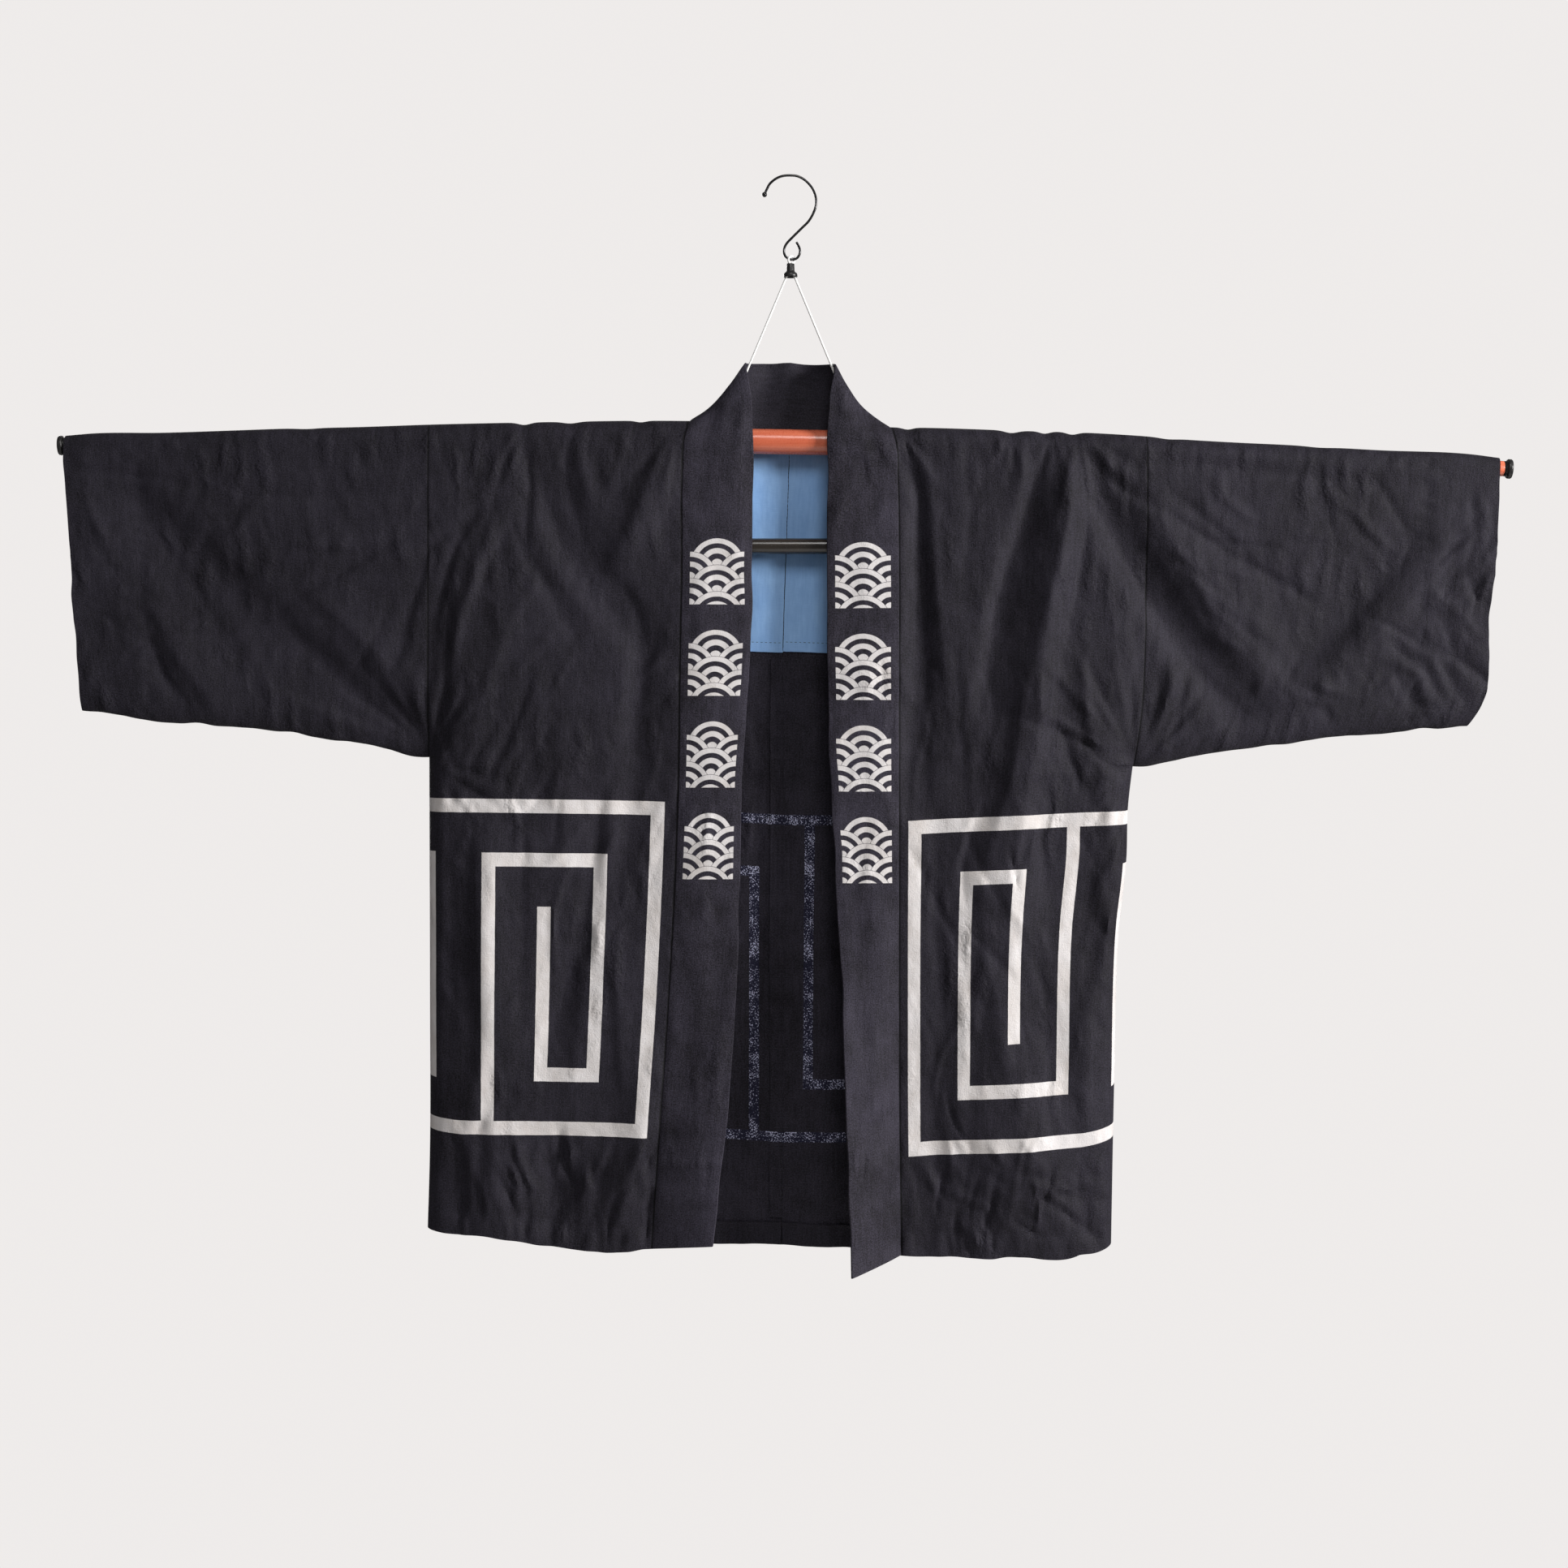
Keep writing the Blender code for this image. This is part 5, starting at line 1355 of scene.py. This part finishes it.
# Undyed blocks of the wave pattern down each front
FIRST_BLOCK, BLOCK_PITCH, BLOCKS = 0.166, 0.0810, 4  # the first one's distance from the shoulder
WAVE_RADIUS = 0.0235
WAVE_BLOCK = 2.5 * WAVE_RADIUS  # height of a block
#   inner and outer radius of each band of a wave, as shares of its radius
WAVE_BANDS = ((0.0, 0.22), (0.42, 0.62), (0.80, 0.985))


def wave_gap(beside, up):
    """Distance from the white of a block of overlapping waves, less than 0 inside it."""
    radius = WAVE_RADIUS
    beside = sum_of("ABSOLUTE", beside)
    top = WAVE_BLOCK / 2 - radius
    chosen = []
    for centre, highest in ((0.0, top), (radius, top - radius / 2)):
        aside = sum_of("SUBTRACT", beside, centre)
        squared = sum_of("SUBTRACT", radius * radius, sum_of("MULTIPLY", aside, aside))
        reach = sum_of("SQRT", sum_of("MAXIMUM", squared, 0.0))
        above = sum_of("SUBTRACT", sum_of("SUBTRACT", up, reach), highest)
        step = sum_of("CEIL", sum_of("DIVIDE", above, radius))
        height = sum_of("MULTIPLY_ADD", step, radius, highest)
        beyond = sum_of("GREATER_THAN", step, 0.5)
        chosen.append((aside, height, sum_of("MULTIPLY_ADD", beyond, 1.0, height)))
    (aside_a, height_a, rank_a), (aside_b, height_b, rank_b) = chosen
    second = sum_of("LESS_THAN", rank_b, rank_a)
    aside = sum_of("MULTIPLY_ADD", sum_of("SUBTRACT", aside_b, aside_a), second, aside_a)
    height = sum_of("MULTIPLY_ADD", sum_of("SUBTRACT", height_b, height_a), second, height_a)
    off = sum_of("SUBTRACT", up, height)
    away = sum_of("SQRT", sum_of("ADD", sum_of("MULTIPLY", aside, aside), sum_of("MULTIPLY", off, off)))
    gaps = []
    for inner, outer in WAVE_BANDS:
        middle, half = (inner + outer) / 2 * radius, (outer - inner) / 2 * radius
        gaps.append(sum_of("SUBTRACT", sum_of("ABSOLUTE", sum_of("SUBTRACT", away, middle)), half))
    below = sum_of("SUBTRACT", -WAVE_BLOCK / 2, up)
    nearest = sum_of("MAXIMUM", sum_of("MAXIMUM", least(gaps), below), sum_of("SUBTRACT", beside, radius))
    nothing = sum_of("GREATER_THAN", sum_of("MINIMUM", rank_a, rank_b), 0.5)
    return sum_of("ADD", nearest, nothing)


collar_black = black_cotton("black cotton, collar", worn=1.5, paler=1.55)
shader = collar_black.node_tree.nodes["Principled BSDF"]
plain = shader.inputs["Base Color"].links[0].from_socket
across, along = parts_of(wandering(on_flat(shader), 75, 0.0008))
down_left = sum_of("SUBTRACT", float(shoulder_at[LEFT]), along)
down_right = sum_of("SUBTRACT", along, float(shoulder_at[RIGHT]))
down = sum_of("SUBTRACT", sum_of("MAXIMUM", down_left, down_right), FIRST_BLOCK)
steps = sum_of("DIVIDE", down, BLOCK_PITCH)
number = sum_of("MINIMUM", sum_of("MAXIMUM", sum_of("ROUND", steps), 0.0), BLOCKS - 1.0)
up = sum_of("MULTIPLY", sum_of("SUBTRACT", number, steps), BLOCK_PITCH)
nearest = wave_gap(sum_of("SUBTRACT", across, COLLAR_WIDTH / 2), up)
stain = noise(in_space(shader), 30, 4, 0.65)
white = two_toned(stain, 0.45, 0.80, WHITE, WHITE_STAINED)
feed(shader, colour=blended(ranged(nearest, -PRINT_EDGE, PRINT_EDGE, 1, 0), plain, white))
inside = black_cotton("black cotton, inside of collar", worn=1.1, paler=1.1)
dress(collar, "black_cotton", collar_black, inside, stands_for="collar")

# ------------------------------------------------------------------------------------ shoulder lining
# Two pieces of light blue cotton inside the upper back, joined down the middle. Their lower edge is turned
# up 9 mm and stitched with dark thread, and their upper edge is caught in the collar's seam.
LINING_WALL = 0.0010
LINING_END = 1.725
LINING_TURN = 0.0086
LINING_COLUMNS = 84
LINING_SLACK = 0.0004
LINING_GROOVE = 0.0006  # depth of the dip along its middle seam
TURNED_UP = 0.0003


def lining_point(side, c, s):
    above = (LINING_END - s) * TO_UNDERARM
    x, z = c * FLAT_WIDTH[side][1] * side, -s * TO_UNDERARM
    slack = LINING_SLACK + LINING_SLACK * unevenness(x, z, 0.011, 0.045, 81)
    slack = slack * ease((s - 1) / 0.15) * ease(above / 0.01)
    groove = LINING_GROOVE * hump(x, 0.0016)
    turned_up = TURNED_UP * ease((LINING_TURN - above) / 0.0015)
    return inside_point(side, BACK, c, s, SEAM + slack + turned_up - groove)


blue, shader = finish("light blue cotton", roughness=0.9, specular=0.15, sheen=0.12)
where = in_space(shader)
weave, slub = threads(on_flat(shader))
mottled = sum_of("MULTIPLY_ADD", noise(where, 30, 4, 0.6), 0.6, sum_of("MULTIPLY", slub, 0.4))
mottled = sum_of("MULTIPLY_ADD", weave, 0.55, mottled)
feed(shader, colour=two_toned(mottled, 0.50, 1.00, (0.245, 0.440, 0.790), (0.375, 0.615, 0.965)))
soft = bumped(shader, noise(where, 90, 3), 0.35, 0.0010)
bumped(shader, weave, 0.5, 0.00026, soft)

rows = neck_stations()[-1:] + [UNDER_NECK]
rows += [s for s in stations(CLOTH_STEP, 3) if 1 <= s < LINING_END - 0.004] + [LINING_END]
for side, name in SIDES:
    lining = lay(
        "lining_" + name + "_cloth",
        np.arange(LINING_COLUMNS + 1) / LINING_COLUMNS,
        rows,
        lambda c, s, side=side: lining_point(side, c, s),
        lambda c, s, side=side: (c * FLAT_WIDTH[side][1], cut_length(side, s, c)),
        flip=side == LEFT,
    )
    walled(lining, LINING_WALL, 0.0003)
    dress(lining, "blue_cotton", blue, stands_for="lining_" + name)

# ------------------------------------------------------------------------------------ stitches
# Hand stitches in dark cotton thread: the running stitch along the lining's lower edge and middle, and the
# small hemming stitches at the bottom and cuffs.
THREAD_RADIUS = 0.00022
THREAD_LIFT = 0.35  # part of its radius by which a stitch stands over the cloth
THREAD_WANDER = 0.00012
#   from one stitch to the next, length of one
LINING_STITCH = (0.0040, 0.0030)
MIDDLE_STITCH = (0.0036, 0.0031)
MIDDLE_RADIUS = 0.00028
HEM_STITCH = (0.0075, 0.0016)
CUFF_STITCH = (0.0080, 0.0015)


def stitches(name, line, facing, pitch, long, radius=THREAD_RADIUS):
    """Short stitches end to end along a line of points, lying on the face that looks the given way."""
    line = np.asarray(line, float)
    gone = distance_along(line)
    made = bmesh.new()
    wander = np.random.default_rng(len(line))
    for at in np.arange(pitch / 2, gone[-1], pitch):
        a, b = read_line(np.array([at - long / 2, at + long / 2]), gone, line)
        x = (b - a) / max(np.linalg.norm(b - a), 1e-6)
        y = np.array(facing, float) - x * np.dot(facing, x)
        y /= np.linalg.norm(y)
        z = np.cross(x, y)
        middle = (a + b) / 2 + y * radius * THREAD_LIFT + z * wander.uniform(-THREAD_WANDER, THREAD_WANDER)
        half = (long / 2 * wander.uniform(0.85, 1.05), radius, radius)
        lie = [[x[i] * half[0], y[i] * half[1], z[i] * half[2], middle[i]] for i in range(3)]
        lie = Matrix([*lie, [0, 0, 0, 1]])
        bmesh.ops.create_uvsphere(made, u_segments=6, v_segments=4, radius=1, matrix=lie)
    bmesh.ops.recalc_face_normals(made, faces=made.faces)
    piece = into_scene(name, made)
    dress(piece, "black_cotton", thread)
    return piece


thread, shader = finish("black sewing thread", roughness=0.7, specular=0.25, sheen=0.15)
twist = noise(in_space(shader), 2600, 2)
feed(shader, colour=two_toned(twist, 0.3, 0.7, (0.010, 0.012, 0.020), (0.035, 0.040, 0.055)))

on_lining, on_body, on_sleeve = ({LEFT: [], RIGHT: []} for _ in range(3))
for side, name in SIDES:
    across = np.linspace(0.004, 1.0, 160)
    lower = np.full(across.shape, LINING_END - LINING_TURN / TO_UNDERARM)
    line = lining_point(side, across, lower) - [0, LINING_WALL, 0]
    on_lining[side].append(stitches("lining_stitches_" + name, line, (0, -1, 0), *LINING_STITCH))
    for face, word in FACES:
        c = np.linspace(0.02 if face == FRONT else 0.0, 1.8, 160)
        length = hem_length(side, face, hem_share(c))
        s = 3 + (length - HEM_TURN - ARMHOLE_DROP[side]) / (length - ARMHOLE_DROP[side])
        line = body_point(side, face, c, s)
        hem = stitches("hem_stitches_" + word + "_" + name, line, (0, face, 0), *HEM_STITCH)
        on_body[side].append(hem)
    for face, word in FACES:
        s = np.linspace(1.05, 2.6, 120)
        line = sleeve_point(side, face, np.full(s.shape, 1 - CUFF_TURN / SLEEVE_LENGTH), s)
        cuff = stitches("cuff_stitches_" + word + "_" + name, line, (0, face, 0), *CUFF_STITCH)
        on_sleeve[side].append(cuff)
down = np.linspace(1.0, LINING_END - 0.01, 90)
line = (lining_point(LEFT, 0 * down, down) + lining_point(RIGHT, 0 * down, down)) / 2 - [0, LINING_WALL, 0]
middle = stitches("lining_middle_stitches", line, (0, -1, 0), *MIDDLE_STITCH, MIDDLE_RADIUS)
on_lining[LEFT].append(middle)

for side, name in SIDES:
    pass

# ------------------------------------------------------------------------------------ studio
# A plain pale floor well below the coat, in a pale room. The strongest of four soft lamps stands far to the
# right and a little in front, so that it grazes the cloth; the others are at the left, above and behind.
FLOOR_Z = -1.9
FLOOR_RADIUS = 1.6


def lamp(name, at, size, power, colour, towards=(0.0, 0.0, -0.5)):
    light = bpy.data.lights.new(name, "AREA")
    light.size = size
    light.energy = power
    light.color = colour
    piece = bpy.data.objects.new(name, light)
    piece.location = at
    x, y, z = np.array(towards, float) - np.array(at, float)
    piece.rotation_euler = (math.atan2(math.hypot(x, y), -z), 0, math.atan2(-x, y))
    scene.collection.objects.link(piece)


made = bmesh.new()
bmesh.ops.create_circle(made, cap_ends=True, segments=96, radius=FLOOR_RADIUS)
bmesh.ops.translate(made, verts=made.verts, vec=(0, 0, FLOOR_Z))
floor = into_scene("floor", made)
pale, shader = finish("pale floor", roughness=0.8, specular=0.2)
feed(shader, colour=blended(noise(in_space(shader), 3, 3), (0.78, 0.77, 0.76), (0.82, 0.81, 0.80)))
floor.data.materials.append(pale)

lamp("window", (2.9, -1.45, 0.3), 0.9, 155, (1.0, 0.985, 0.97), towards=(0.1, 0.0, -0.5))
lamp("left fill", (-2.4, -2.6, 0.5), 1.6, 4, (0.95, 0.975, 1.0))
lamp("room", (0.5, -2.6, 1.9), 1.2, 38, (1.0, 0.99, 0.98))
lamp("behind", (-1.4, 3.0, 0.1), 1.6, 60, (1.0, 0.99, 0.98))

world = bpy.data.worlds.new("pale room")
scene.world = world
world.use_nodes = True
tree = world.node_tree
pale_light = tree.nodes["Background"]
pale_light.inputs["Color"].default_value = (0.86, 0.835, 0.825, 1)
seen = tree.nodes.new("ShaderNodeLightPath").outputs["Is Camera Ray"]
tree.links.new(ranged(seen, 0, 1, 0.14, 1.0), pale_light.inputs["Strength"])
scene.view_settings.view_transform = "Standard"
